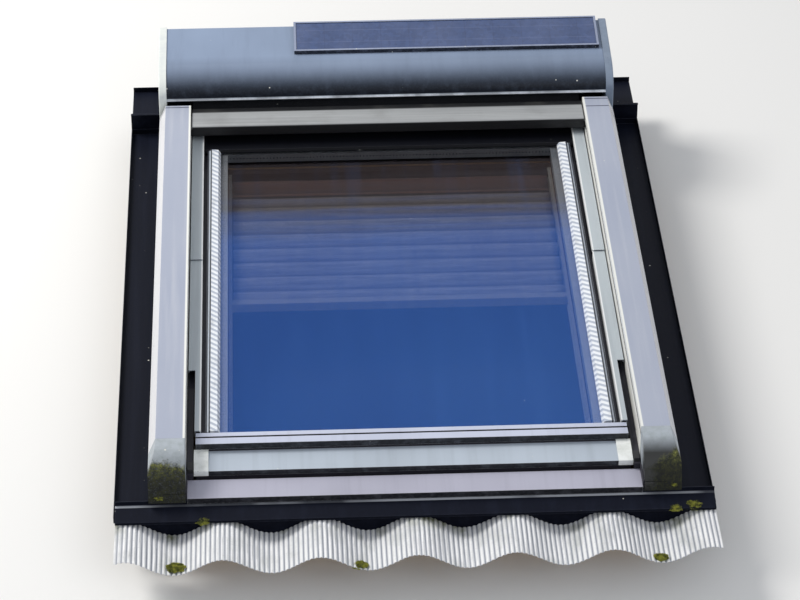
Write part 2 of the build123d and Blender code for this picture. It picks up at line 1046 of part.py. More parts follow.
def make_cassette_base():
    """Folded floor and back of the cassette, standing on the upper frame cover."""
    run = [
        (cassette_floor_front, base_level),
        (cassette_step_y, base_level),
        (cassette_step_y, cassette_floor_level),
        (cassette_back_y, cassette_floor_level),
        (cassette_back_y, cassette_seam_level),
    ]
    with BuildPart() as base:
        with BuildSketch(across(-shell_half)):
            outline(folded(run, sheet))
        extrude(amount=2 * shell_half)
    return base.part


def make_cassette_end(side):
    """Moulded end plate of the cassette, with the journal that carries the tube."""
    start = min(side * shell_half, side * rail_outer)
    with BuildPart() as end:
        with BuildSketch(across(start)):
            add(cassette_section(cap_proud))
            foot = frame_side_level
            with Locations(((cassette_lip_y + cassette_step_y) / 2, (base_level + foot) / 2)):
                Rectangle(cassette_step_y - cassette_lip_y + 2 * cap_proud, base_level - foot)
        extrude(amount=cap_plate)
        outer = end.faces().sort_by(Axis.X)[-1 if side > 0 else 0]
        fillet(outer.edges(), radius=cap_proud)
        with BuildSketch(Plane.YZ.offset(side * shell_half)):
            with Locations((roll_y, roll_level)):
                Circle(tube_radius - tube_wall - running_clearance)
        if side > 0:
            extrude(amount=-side * journal_length)
    return end.part


def make_motor():
    """Tubular motor in the left end of the tube, with the crown that carries the tube."""
    with BuildPart() as motor:
        with BuildSketch(across(-shell_half)):
            with Locations((roll_y, roll_level)):
                Circle(motor_radius)
        extrude(amount=motor_length)
        with BuildSketch(across(-shell_half)):
            with Locations((roll_y, roll_level)):
                Circle(tube_radius - tube_wall - running_clearance)
        extrude(amount=journal_length)
    return motor.part


def make_roller_tube():
    """Tube that the shutter curtain is wound on."""
    half = shell_half - 1
    with BuildPart() as tube:
        with BuildSketch(across(-half)):
            with Locations((roll_y, roll_level)):
                Circle(tube_radius)
                Circle(tube_radius - tube_wall, mode=Mode.SUBTRACT)
        extrude(amount=2 * half)
    return tube.part


def make_shutter_roll():
    """Wound slats of the raised shutter, as one roll on the tube."""
    half = rail_inner
    with BuildPart() as roll:
        with BuildSketch(across(-half)):
            with Locations((roll_y, roll_level)):
                Circle(roll_radius)
                Circle(tube_radius + roll_clearance, mode=Mode.SUBTRACT)
        extrude(amount=2 * half)
    return roll.part


def make_curtain():
    """Stretch of slats between the roll and the end bar."""
    drop = roll_level - slot_level
    top = roll_y - sqrt(roll_radius**2 - max(drop - slat_depth / 2, 0) ** 2) - soft_gap
    low = bar_high
    count = max(1, int((top - low) // slat_pitch))
    with BuildPart() as curtain:
        block(
            (-bar_half, bar_half),
            (low, top),
            (slot_level - slat_depth / 2, slot_level + slat_depth / 2),
        )
        for i in range(1, count + 1):
            y = low + i * slat_pitch
            block(
                (-bar_half, bar_half),
                (y - slat_groove, y),
                (slot_level + slat_depth / 2 - slat_groove, slot_level + slat_depth / 2),
                mode=Mode.SUBTRACT,
            )
    return curtain.part


def make_end_bar():
    """Hollow end bar of the shutter, with tongues that run in the rail slots."""
    with BuildPart() as bar:
        with BuildSketch(across(-bar_half)):
            with Locations(((bar_low + bar_high) / 2, bar_level - bar_depth / 2)):
                RectangleRounded(bar_height, bar_depth, bar_corner)
        extrude(amount=2 * bar_half)
        plug = tongue_reach
        with BuildSketch(across(plug - bar_half)):
            with Locations(((bar_low + bar_high) / 2, bar_level - bar_depth / 2)):
                Rectangle(bar_height - 2 * bar_wall, bar_depth - 2 * bar_wall)
        extrude(amount=2 * (bar_half - plug), mode=Mode.SUBTRACT)
        for side in (-1, 1):
            block(
                span(side, bar_half, rail_inner + rail_wall + tongue_reach),
                (bar_low + bar_corner, bar_high - bar_corner),
                (slot_level - tongue_half_height, slot_level + tongue_half_height),
            )
    return bar.part


def cassette_slope(distance, height):
    """Plane that lies along the flat top of the cassette, as (x, up the slope)."""
    angle = atan2(cassette_slope_rise, cassette_slope_length)
    start = (0, curve_start_y, curve_start_level)
    plane = Plane(origin=start, x_dir=(1, 0, 0), z_dir=(0, -cassette_slope_rise, cassette_slope_length))
    shifted = plane.offset(height)
    along_slope = Vector(0, cos(angle), cassette_slope_rise / hypot(cassette_slope_rise, cassette_slope_length))
    return Plane(origin=shifted.origin + along_slope * distance, x_dir=shifted.x_dir, z_dir=shifted.z_dir)


def make_panel_frame():
    """Thin aluminium tray of the solar panel."""
    centre_x = (panel_left + panel_right) / 2
    length = panel_right - panel_left
    base = cassette_slope(panel_offset + panel_width / 2, 0)
    with BuildPart() as tray:
        with BuildSketch(base):
            with Locations((centre_x, 0)):
                Rectangle(length, panel_width)
        extrude(amount=panel_height)
        cell = cassette_slope(panel_offset + panel_width / 2, panel_height / 2)
        with BuildSketch(cell):
            with Locations((centre_x, 0)):
                Rectangle(length - 2 * panel_rim, panel_width - 2 * panel_rim)
        extrude(amount=panel_height, mode=Mode.SUBTRACT)
    return tray.part


def make_panel_cells():
    """Glass-faced solar cell plate that lies in the tray."""
    centre_x = (panel_left + panel_right) / 2
    length = panel_right - panel_left
    gap = 2 * (panel_rim + running_clearance)
    base = cassette_slope(panel_offset + panel_width / 2, panel_height / 2)
    with BuildPart() as plate:
        with BuildSketch(base):
            with Locations((centre_x, 0)):
                Rectangle(length - gap, panel_width - gap)
        extrude(amount=panel_height / 2 - panel_cell_drop)
    return plate.part


def make_battery():
    """Battery pack held against the inside of the hood."""
    seat = cassette_slope(battery_width / 2 + 2 * sheet, -sheet - running_clearance)
    with BuildPart() as pack:
        with BuildSketch(seat):
            with Locations((battery_left + battery_length / 2, 0)):
                Rectangle(battery_length, battery_width)
        extrude(amount=-battery_height)
    return pack.part


def make_sill_flashing():
    """Folded sill below the frame, with a drip edge and a skirt behind the wave valleys."""
    back = -frame_end - flashing_sheet
    run = [
        (sill_front, wave_crest_level + running_clearance),
        (sill_front, sill_level - sill_fall),
        (back, sill_level),
        (back, sill_level + sill_upstand),
    ]
    back_run = [(-y, z) for y, z in run]
    section = [(-y, z) for y, z in folded(back_run, flashing_sheet)]
    with BuildPart() as sill:
        with BuildSketch(across(-sill_half)):
            outline(section)
            skirt = []
            for y in (apron_high + fold_gap, apron_high + fold_gap + flashing_sheet):
                fall = sill_fall * (back - y) / sill_reach
                skirt += [(y, skirt_level), (y, sill_level - fall - flashing_sheet / 2)]
            outline([skirt[0], skirt[2], skirt[3], skirt[1]])
        extrude(amount=2 * sill_half)
    return sill.part


def apron_level(x):
    """Height of the pleated sheet's upper crease line over the tile wave."""
    middle = wave_crest_level - wave_rise / 2
    return middle + wave_rise / 2 * cos(2 * pi * x / wave_pitch)


def make_apron():
    """Pleated apron moulded over the waves of the roof tiles."""
    count = ceil(2 * sill_half / pleat_pitch)
    step = 2 * sill_half / count
    top = []
    for i in range(count):
        x = i * step - sill_half
        top.append((x, apron_level(x)))
        crease = x + step / 2
        top.append((crease, apron_level(crease) - pleat_depth))
    top.append((sill_half, apron_level(sill_half)))
    bottom = [(x, z - apron_sheet) for x, z in reversed(top)]
    with BuildPart() as apron:
        with BuildSketch(along(apron_high)):
            outline(top + bottom)
        extrude(amount=apron_high - apron_low)
    return apron.part


def make_side_flashing(side):
    """Gutter sheet beside the frame, hooked on to it and turned up at its edge and its head."""
    wall = frame_half + upstand_offset
    run = [
        (frame_half, upstand_level),
        (wall + flashing_sheet, upstand_level),
        (wall + flashing_sheet, gutter_level + flashing_sheet),
        (gutter_edge - flashing_sheet, gutter_level + flashing_sheet),
        (gutter_edge - flashing_sheet, gutter_level + gutter_edge_rise),
    ]
    mirrored_run = [(-x, z) for x, z in run]
    section = [(-side * x, z) for x, z in folded(mirrored_run, flashing_sheet)]
    with BuildPart() as gutter:
        with BuildSketch(along(frame_end)):
            outline(section)
        extrude(amount=2 * frame_end)
        end = head_wall - flashing_sheet - running_clearance
        end_range = (frame_end, end)
        turned_up = (gutter_level, gutter_level + gutter_edge_rise)
        wall_range = span(side, wall, wall + flashing_sheet)
        edge_range = span(side, gutter_edge - flashing_sheet, gutter_edge)
        floor_range = span(side, wall, gutter_edge)
        block(wall_range, end_range, (gutter_level, upstand_level - flashing_sheet - fold_gap))
        block(floor_range, end_range, (gutter_level, gutter_level + flashing_sheet))
        block(edge_range, end_range, turned_up)
        block(floor_range, (end - flashing_sheet, end), turned_up)
    return gutter.part


def make_head_flashing():
    """Sheet above the frame that runs up under the tiles."""
    run = [
        (frame_end, upstand_level),
        (head_wall, upstand_level),
        (head_wall, head_level),
        (frame_end + head_length, head_level),
        (frame_end + head_length, head_level + head_edge_rise),
    ]
    mirrored_run = [(-y, z) for y, z in run]
    section = [(-y, z) for y, z in folded(mirrored_run, flashing_sheet)]
    with BuildPart() as head:
        with BuildSketch(across(-gutter_edge)):
            outline(section)
        extrude(amount=2 * gutter_edge)
    return head.part


def make_brackets():
    """Four angle brackets that carry the frame on the battens."""
    with BuildPart() as brackets:
        for side in (-1, 1):
            for y in (-bracket_y, bracket_y):
                y_range = (y - bracket_width / 2, y + bracket_width / 2)
                block(span(side, frame_half, frame_half + bracket_flange), y_range, (0, bracket_sheet))
                block(
                    span(side, frame_half, frame_half + bracket_sheet),
                    y_range,
                    (bracket_sheet, bracket_upright),
                )
                with BuildSketch(Plane.XY):
                    with Locations((side * bracket_hole_x, y)):
                        Circle(bracket_hole_radius)
                extrude(amount=bracket_sheet, mode=Mode.SUBTRACT)
                for offset_y in (-screw_offset, screw_offset):
                    for level in screw_levels:
                        with BuildSketch(Plane.YZ.offset(side * frame_half)):
                            with Locations((y + offset_y, level)):
                                Circle(screw_radius + screw_clearance)
                        extrude(amount=side * bracket_sheet, mode=Mode.SUBTRACT)
    return brackets.part


def make_bracket_screws():
    """Wood screws through the brackets into the frame sides."""
    face = frame_half + bracket_sheet
    with BuildPart() as screws:
        for side in (-1, 1):
            for y in (-bracket_y, bracket_y):
                for offset_y in (-screw_offset, screw_offset):
                    for level in screw_levels:
                        with BuildSketch(Plane.YZ.offset(side * face)):
                            with Locations((y + offset_y, level)):
                                Circle(screw_radius)
                        extrude(amount=-side * (screw_length - screw_clearance))
                        with BuildSketch(Plane.YZ.offset(side * face)):
                            with Locations((y + offset_y, level)):
                                Circle(screw_head_radius)
                        extrude(amount=side * screw_head, taper=screw_head_taper)
    return screws.part


def make_control_brackets():
    """End brackets with the pins of the control bar and of the ventilation flap."""
    near = vent_half + bracket_block
    with BuildPart() as brackets:
        for side in (-1, 1):
            low = handle_y - 2 * handle_hub_radius
            high = flap_hinge_y + 2 * flap_drop
            block(
                span(side, near, near + bracket_block),
                (low, high),
                (handle_level - handle_hub_radius, sash_base),
            )
            reach = bracket_gap + pin_engagement
            for y, level, radius in (
                (handle_y, handle_level, handle_pin_radius),
                (flap_hinge_y, sash_base - flap_drop, flap_pin_radius),
            ):
                with BuildSketch(Plane.YZ.offset(side * near)):
                    with Locations((y, level)):
                        Circle(radius)
                extrude(amount=-side * reach)
    return brackets.part


def make_control_bar():
    """Handle bar on the room side of the upper sash member."""
    half = vent_half + bracket_block - bracket_gap
    with BuildPart() as bar:
        with BuildSketch(across(-half)):
            with Locations((handle_y, handle_level)):
                Circle(handle_hub_radius)
            with Locations((handle_y - handle_reach, handle_level)):
                Circle(handle_grip_radius)
            with Locations((handle_y - handle_reach / 2, handle_level)):
                Rectangle(handle_reach, handle_web)
        extrude(amount=2 * half)
        for side in (-1, 1):
            with BuildSketch(Plane.YZ.offset(side * half)):
                with Locations((handle_y, handle_level)):
                    Circle(handle_pin_radius + running_clearance)
            extrude(amount=-side * (pin_engagement + bracket_gap), mode=Mode.SUBTRACT)
    return bar.part


def make_vent_flap():
    """Flap that closes the ventilation slot from the room side."""
    half = vent_half + bracket_block - bracket_gap
    level = sash_base - flap_drop
    radius = flap_pin_radius + flap_sheet / 3
    with BuildPart() as flap:
        block(
            (-half, half),
            (flap_hinge_y - flap_width, flap_hinge_y),
            (level - flap_sheet / 2, level + flap_sheet / 2),
        )
        with BuildSketch(across(-half)):
            with Locations((flap_hinge_y, level)):
                Circle(radius)
        extrude(amount=2 * half)
        for side in (-1, 1):
            with BuildSketch(Plane.YZ.offset(side * half)):
                with Locations((flap_hinge_y, level)):
                    Circle(flap_pin_radius + running_clearance)
            extrude(amount=-side * (pin_engagement + bracket_gap), mode=Mode.SUBTRACT)
    return flap.part


def make_blind_head():
    """Head rail of the blind, between the sash stiles."""
    high = sash_high - blind_head_gap
    with BuildPart() as head:
        block((-sash_inner, sash_inner), (high - blind_head, high), (blind_low, blind_high))
    return head.part


def make_blind_guides():
    """Channel guides of the blind on both stiles."""
    top = sash_high - blind_head_gap - blind_head
    with BuildPart() as guides:
        for side in (-1, 1):
            block(
                span(side, sash_inner - guide_width, sash_inner),
                (sash_low, top),
                (blind_low, blind_high),
            )
            block(
                span(side, sash_inner - guide_width, sash_inner - sheet),
                (sash_low, top),
                (blind_low + sheet, blind_high - sheet),
                mode=Mode.SUBTRACT,
            )
    return guides.part


def make_blind_bar():
    """Bottom bar of the blind, with its ends in the guides."""
    low = blind_low + sheet + guide_clearance
    high = blind_high - sheet - guide_clearance
    half = sash_inner - sheet - guide_clearance
    with BuildPart() as bar:
        block((-half, half), (blind_bar_y, blind_bar_y + blind_bar_height), (low, high))
    return bar.part


def make_blind_cloth():
    """Pleated cloth of the blind, from the head rail down to the bottom bar."""
    low = blind_bar_y + blind_bar_height + soft_gap
    high = sash_high - blind_head_gap - blind_head - soft_gap
    middle = (blind_low + blind_high) / 2
    step = (high - low) / (2 * blind_pleats)
    half = sash_inner - guide_width - blind_side_gap
    run = []
    for i in range(2 * blind_pleats + 1):
        swing = blind_pleat_depth / 2 if i % 2 else -blind_pleat_depth / 2
        run.append((low + i * step, middle + swing))
    with BuildPart() as cloth:
        with BuildSketch(across(-half)):
            outline([*run, *((y, z + blind_cloth) for y, z in reversed(run))])
        extrude(amount=2 * half)
    return cloth.part


sides = {"left": -1, "right": 1}

for word, side in sides.items():
    keep(make_frame_side(side), f"frame_side_{word}")
    keep(make_sash_stile(side), f"sash_stile_{word}")
    keep(make_side_bead(side), f"side_bead_{word}")
    keep(make_lower_side_cover(side), f"lower_side_cover_{word}")
    keep(make_upper_side_cover(side), f"upper_side_cover_{word}")
    keep(make_rail(side), f"guide_rail_{word}")
    keep(make_rail_cap(side), f"rail_end_cap_{word}")
    keep(make_cassette_end(side), f"cassette_end_{word}")
    keep(make_side_flashing(side), f"side_flashing_{word}")

keep(make_frame_bottom(), "frame_bottom")
keep(make_frame_top(), "frame_top")
keep(make_strike_plate(), "strike_plate")
keep(make_frame_hinges(), "frame_pivot_plates")
keep(make_sash_hinges(), "sash_pivot_plates")
keep(make_sash_bottom(), "sash_rail_bottom")
keep(make_sash_top(), "sash_rail_top")
keep(make_lock_case(), "lock_case")
keep(make_barrel_bolt(), "barrel_bolt")
keep(make_pane(glass_seat), "inner_pane")
keep(make_pane(glass_top - pane), "outer_pane")
keep(make_spacer(), "glass_spacer")
keep(make_seal(), "sash_seal")
keep(make_bottom_bead(), "bottom_bead")
keep(make_sash_bottom_cover(), "sash_bottom_cover")
keep(make_end_pieces(), "cover_end_pieces")
keep(make_buffers(), "rubber_buffers")
keep(make_sash_top_cover(), "sash_top_cover")
keep(make_frame_top_cover(), "frame_top_cover")
keep(make_frame_bottom_cover(), "frame_bottom_cover")
keep(make_cassette_cover(), "cassette_hood")
keep(make_cassette_base(), "cassette_base")
keep(make_motor(), "shutter_motor")
keep(make_roller_tube(), "roller_tube")
keep(make_shutter_roll(), "shutter_roll")
keep(make_curtain(), "shutter_curtain")
keep(make_end_bar(), "shutter_end_bar")
keep(make_panel_frame(), "solar_panel_tray")
keep(make_panel_cells(), "solar_cell_plate")
keep(make_battery(), "battery_pack")
keep(make_sill_flashing(), "sill_flashing")
keep(make_apron(), "pleated_apron")
keep(make_head_flashing(), "head_flashing")
keep(make_brackets(), "installation_brackets")
keep(make_bracket_screws(), "bracket_screws")
keep(make_control_brackets(), "control_brackets")
keep(make_control_bar(), "control_bar")
keep(make_vent_flap(), "vent_flap")
keep(make_blind_head(), "blind_head_rail")
keep(make_blind_guides(), "blind_guides")
keep(make_blind_bar(), "blind_bottom_bar")
keep(make_blind_cloth(), "blind_cloth")
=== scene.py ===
import math

import bpy
import mathutils
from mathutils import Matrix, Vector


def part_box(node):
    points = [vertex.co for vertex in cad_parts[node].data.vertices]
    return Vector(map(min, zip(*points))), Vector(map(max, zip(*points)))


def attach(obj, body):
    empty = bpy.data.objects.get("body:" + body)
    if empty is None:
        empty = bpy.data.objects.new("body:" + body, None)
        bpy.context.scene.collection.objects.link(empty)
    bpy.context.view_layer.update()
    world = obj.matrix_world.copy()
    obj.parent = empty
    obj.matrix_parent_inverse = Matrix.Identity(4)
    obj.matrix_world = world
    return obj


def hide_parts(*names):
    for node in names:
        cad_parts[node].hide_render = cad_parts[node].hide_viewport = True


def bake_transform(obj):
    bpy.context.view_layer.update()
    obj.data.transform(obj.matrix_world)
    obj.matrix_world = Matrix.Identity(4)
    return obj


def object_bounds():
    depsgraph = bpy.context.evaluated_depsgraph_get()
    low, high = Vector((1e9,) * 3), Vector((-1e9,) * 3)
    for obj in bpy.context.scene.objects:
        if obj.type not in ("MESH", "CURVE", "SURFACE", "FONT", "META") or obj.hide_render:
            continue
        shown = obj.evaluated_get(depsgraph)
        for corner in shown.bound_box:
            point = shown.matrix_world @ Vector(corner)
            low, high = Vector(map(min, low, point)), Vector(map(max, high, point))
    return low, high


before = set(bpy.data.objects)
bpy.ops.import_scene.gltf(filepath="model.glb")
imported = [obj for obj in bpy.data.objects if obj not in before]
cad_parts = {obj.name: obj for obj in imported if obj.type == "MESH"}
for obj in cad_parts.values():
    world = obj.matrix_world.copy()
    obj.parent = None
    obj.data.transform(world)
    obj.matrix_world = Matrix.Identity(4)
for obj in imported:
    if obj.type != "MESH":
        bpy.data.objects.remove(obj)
cad_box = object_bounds()

# Timber frame and sash
# Laminated pine members, planed and jointed at the corners, with a clear satin lacquer.
# The grain runs along each member, and the faces under the outer covers are painted blue-black as painted
# shade for the dark gaps there.


def tone(red, green, blue):
    """Colour of a finish from its 8-bit display values, as the linear colour a shader takes."""
    parts = []
    for value in (red, green, blue):
        share = value / 255
        parts.append(share / 12.92 if share <= 0.04045 else ((share + 0.055) / 1.055) ** 2.4)
    return (*parts, 1.0)


def new_finish(name):
    """Material with its node tree and its main shader."""
    material = bpy.data.materials.new(name)
    material.use_nodes = True
    return material, material.node_tree, material.node_tree.nodes["Principled BSDF"]


def wire(tree, node, inputs):
    """Set each named input of a node, or join it to the socket that is given."""
    for key, value in inputs.items():
        if isinstance(value, bpy.types.NodeSocket):
            tree.links.new(value, node.inputs[key])
        else:
            node.inputs[key].default_value = value
    return node


def put(tree, kind, inputs, **settings):
    """Add a node with its settings and its inputs."""
    node = tree.nodes.new(kind)
    for key, value in settings.items():
        setattr(node, key, value)
    return wire(tree, node, inputs)


def places(tree, stretch=(1, 1, 1)):
    """Object coordinates in metres, stretched for grain or streaks."""
    source = put(tree, "ShaderNodeTexCoord", {}).outputs["Object"]
    return put(tree, "ShaderNodeMapping", {"Vector": source, "Scale": stretch}).outputs["Vector"]


def axes_of(tree, where=None):
    """One output for each axis, of the object coordinates or of a given vector."""
    return put(tree, "ShaderNodeSeparateXYZ", {"Vector": where or places(tree)}).outputs


def noise(tree, where, scale, detail, roughness=0.5):
    """Soft random pattern from 0 to 1 over these coordinates."""
    inputs = {"Vector": where, "Scale": scale, "Detail": detail, "Roughness": roughness}
    return put(tree, "ShaderNodeTexNoise", inputs).outputs["Fac"]


def cloud(tree, scale, stretch=(1, 1, 1), detail=4.0, roughness=0.55):
    """Soft random pattern over the piece's own coordinates."""
    return noise(tree, places(tree, stretch), scale, detail, roughness)


def spread(tree, value, low, high, start=0.0, stop=1.0):
    """A value between low and high turned into one between start and stop, and held there."""
    inputs = {"Value": value, "From Min": low, "From Max": high, "To Min": start, "To Max": stop}
    return put(tree, "ShaderNodeMapRange", inputs).outputs["Result"]


def reckon(tree, operation, first, second=0.0):
    """Arithmetic on one or two values."""
    return put(tree, "ShaderNodeMath", {0: first, 1: second}, operation=operation).outputs[0]


def times(tree, first, second):
    """Product of two values."""
    return reckon(tree, "MULTIPLY", first, second)


def plus(tree, first, second):
    """Sum of two values."""
    return reckon(tree, "ADD", first, second)


def minus(tree, first, second):
    """First value less the second."""
    return reckon(tree, "SUBTRACT", first, second)


def gap(tree, first, second):
    """Distance between two values."""
    return reckon(tree, "ABSOLUTE", minus(tree, first, second))


def zigzag(tree, value, half):
    """Even zigzag from 0 to 1, with this distance between a low point and a high one."""
    return reckon(tree, "DIVIDE", reckon(tree, "PINGPONG", value, half), half)


def reckon_vector(tree, operation, first, second):
    """Arithmetic on two vectors."""
    return put(tree, "ShaderNodeVectorMath", {0: first, 1: second}, operation=operation).outputs[0]


def surface(tree, shader, colour, roughness):
    """Give the shader its colour and its roughness."""
    wire(tree, shader, {"Base Color": colour, "Roughness": roughness})


def lay_over(tree, share, under, over):
    """Colour of one coat over another, where the share says."""
    return put(tree, "ShaderNodeMix", {0: share, 6: under, 7: over}, data_type="RGBA").outputs[2]


def stain(tree, under, pattern, low, high, share, over):
    """Colour laid over another as a pattern rises from low to high, up to the share."""
    return lay_over(tree, spread(tree, pattern, low, high, 0.0, share), under, over)


def relief(tree, shader, height, depth, under=None):
    """Small height in metres on the surface of a shader, above any other relief."""
    inputs = {"Height": height, "Distance": depth, "Strength": 1.0}
    if under is not None:
        inputs["Normal"] = under
    normal = put(tree, "ShaderNodeBump", inputs).outputs["Normal"]
    wire(tree, shader, {"Normal": normal})
    return normal


def rounded_edge(tree, radius):
    """Normal that rounds the sharp edges, and a mask of where they are."""
    soft = put(tree, "ShaderNodeBevel", {"Radius": radius}, samples=4).outputs["Normal"]
    flat = put(tree, "ShaderNodeNewGeometry", {}).outputs["True Normal"]
    match = put(tree, "ShaderNodeVectorMath", {0: soft, 1: flat}, operation="DOT_PRODUCT")
    return soft, spread(tree, match.outputs["Value"], 0.985, 0.80)


def dress(material, *names):
    """Give a material to the named CAD nodes."""
    for name in names:
        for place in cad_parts[name].material_slots:
            place.material = material


pine_pale = tone(226, 187, 132)
pine_late = tone(186, 130, 76)
pine_lamella = 0.028
painted_shade_level = 0.0815


def lacquered_pine(name, grain_axis):
    """Pine with its grain along one axis: 0 across the window, 1 up the slope."""
    material, tree, shader = new_finish(name)
    fibre = [1.0, 1.0, 1.0]
    fibre[grain_axis] = 0.035
    waves = {"Scale": 26.0, "Distortion": 9.0, "Detail": 3.0, "Detail Scale": 1.4}
    waves["Vector"] = places(tree, fibre)
    rings = put(tree, "ShaderNodeTexWave", waves, bands_direction="Z").outputs["Fac"]
    pores = cloud(tree, 900.0, fibre, 3.0)
    broad = cloud(tree, 9.0, fibre, 2.0)
    layers = axes_of(tree)["Z"]
    lamella = reckon(tree, "FLOOR", reckon(tree, "DIVIDE", layers, pine_lamella))
    shade = put(tree, "ShaderNodeTexWhiteNoise", {"W": lamella}, noise_dimensions="1D").outputs["Value"]
    colour = stain(tree, pine_pale, rings, 0.35, 0.95, 0.75, pine_late)
    colour = stain(tree, colour, shade, 0, 1, 0.16, pine_late)
    colour = stain(tree, colour, broad, 0.35, 0.7, 0.3, tone(236, 205, 155))
    colour = stain(tree, colour, pores, 0.55, 0.8, 0.45, tone(150, 100, 58))
    rounding, edges = rounded_edge(tree, 0.0012)
    colour = lay_over(tree, times(tree, edges, 0.25), colour, tone(240, 212, 168))
    # Painted shade: above this level the timber is blue-black, for the dark gaps beside the outer covers.
    painted_shade_top = spread(tree, layers, painted_shade_level, painted_shade_level + 0.002)
    colour = lay_over(tree, painted_shade_top, colour, lay_over(tree, pores, tone(16, 16, 28), tone(37, 36, 50)))
    satin = spread(tree, broad, 0.3, 0.7, 0.34, 0.46)
    rough = plus(tree, satin, times(tree, painted_shade_top, 0.4))
    wire(tree, shader, {"Base Color": colour, "Roughness": rough, "Coat Weight": 0.15})
    relief(tree, shader, pores, 0.00018, rounding)
    return material


pine_along = lacquered_pine("lacquered_pine_lengthwise", 1)
pine_across = lacquered_pine("lacquered_pine_crosswise", 0)
dress(pine_along, "frame_side_left", "frame_side_right", "sash_stile_left", "sash_stile_right")
dress(pine_across, "frame_top", "frame_bottom", "sash_rail_top", "sash_rail_bottom")

# Pivots, lock, bolt and brackets
# Pressed steel, zinc plated and passivated to a dull silver with faint rainbow patches.
# The plates are let into the timber and the brackets are screwed on to the frame's flanks.

zinc_light = tone(196, 199, 202)
zinc_dull = tone(140, 144, 150)
zinc_straw = tone(196, 184, 150)


def random_cells(tree, per_metre):
    """Random parts of each cell's own colour, and the distance from the cell's middle."""
    found = put(tree, "ShaderNodeTexVoronoi", {"Vector": places(tree), "Scale": per_metre}).outputs
    return put(tree, "ShaderNodeSeparateColor", {"Color": found["Color"]}).outputs, found["Distance"]


def plated_steel(name):
    """Zinc plating with its crystal patches and fine rolling marks."""
    material, tree, shader = new_finish(name)
    patch = random_cells(tree, 260.0)[0]["Red"]
    drift = cloud(tree, 45.0)
    rolling = cloud(tree, 700.0, (1, 0.03, 1))
    colour = stain(tree, zinc_light, patch, 0, 1, 0.5, zinc_dull)
    colour = stain(tree, colour, drift, 0.5, 0.8, 0.4, zinc_straw)
    rounding, edges = rounded_edge(tree, 0.0005)
    colour = lay_over(tree, times(tree, edges, 0.6), colour, tone(225, 226, 228))
    dull = spread(tree, rolling, 0.3, 0.7, 0.30, 0.48)
    wire(tree, shader, {"Base Color": colour, "Metallic": 0.9, "Roughness": dull})
    relief(tree, shader, rolling, 0.00005, rounding)
    return material


zinc_plated = plated_steel("zinc_plated_steel")
dress(zinc_plated, "frame_pivot_plates", "sash_pivot_plates", "strike_plate", "lock_case", "barrel_bolt")
dress(zinc_plated, "installation_brackets", "bracket_screws")

# Sill, gutters and head flashing
# Folded aluminium sheet with a baked, matt coating, painted near-black blue as painted shade.
# Each one hooks on to the frame's outer edge and turns up where it runs under the tiles.

# Painted shade: the coating's near-black blue is darker than its own colour.
flashing_paint_and_shade = tone(6, 9, 21)
flashing_film = tone(48, 54, 74)
sill_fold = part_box("sill_flashing")[1].y - 0.0016
sill_fold_band = 0.0024
lime_speck = tone(214, 214, 206)


def spots(tree, per_metre, size, share):
    """Mask of scattered small dots; share is how many of the cells have one."""
    pick, distance = random_cells(tree, per_metre)
    chosen = reckon(tree, "LESS_THAN", pick["Red"], share)
    reach = times(tree, pick["Green"], size)
    inside = spread(tree, minus(tree, reach, distance), 0.0, 0.03)
    return times(tree, chosen, inside)


def flat_face_share(tree, low, high):
    """Share from none on steep faces to all on flat ones: where dust settles, and where painted light and
    shade are split by facing.
    """
    normal = put(tree, "ShaderNodeNewGeometry", {}).outputs["Normal"]
    upward = axes_of(tree, normal)["Z"]
    return spread(tree, upward, low, high)


def weathered_coating(
    name, paint, dust_and_light_tone, dust_and_light_share=0.6, specks=0.3, roughness=0.42, worn=None, steep=(0.2, 0.98),
    gloss=0.35, runs=0.22, dust_and_light_mask=None, detail=None,
):
    """Baked coating on sheet metal: paint on steep faces, a second tone on flat ones, rain streaks and
    lime specks.

    The second tone is pale dust on some pieces; on others it is painted light, and the steep faces
    carry painted shade or painted highlight. Its share can be given by a mask function, and a piece's
    own lines are laid over by detail.
    """
    material, tree, shader = new_finish(name)
    broad = cloud(tree, 6.0, (1, 0.45, 1), 3.0)
    streaks = cloud(tree, 70.0, (1, 0.035, 1), 4.0)
    mottle = cloud(tree, 260.0, detail=5.0)
    peel = cloud(tree, 1500.0, detail=1.0)
    dust_and_light_reach = dust_and_light_mask(tree) if dust_and_light_mask else flat_face_share(tree, *steep)
    dust_and_light_here = times(tree, dust_and_light_reach, dust_and_light_share)
    dust_and_light_here = times(tree, dust_and_light_here, spread(tree, broad, 0.3, 0.7, 0.82, 1.0))
    colour = lay_over(tree, dust_and_light_here, paint, dust_and_light_tone)
    colour = stain(tree, colour, streaks, 0.5, 0.8, runs, dust_and_light_tone)
    colour = stain(tree, colour, streaks, 0.48, 0.25, runs, paint)
    colour = stain(tree, colour, mottle, 0.45, 0.8, runs * 0.6, dust_and_light_tone)
    colour = lay_over(tree, spots(tree, 75.0, 0.12, specks * 0.6), colour, lime_speck)
    rounding, edges = rounded_edge(tree, 0.0011)
    if worn is not None:
        colour = lay_over(tree, times(tree, edges, 0.55), colour, worn)
    if detail is not None:
        colour = detail(tree, colour)
    dull = spread(tree, mottle, 0.3, 0.7, roughness - 0.05, roughness + 0.08)
    wire(tree, shader, {"Base Color": colour, "Roughness": dull, "Specular IOR Level": gloss})
    bumps = relief(tree, shader, peel, 0.00003, rounding)
    relief(tree, shader, streaks, 0.00008, bumps)
    return material


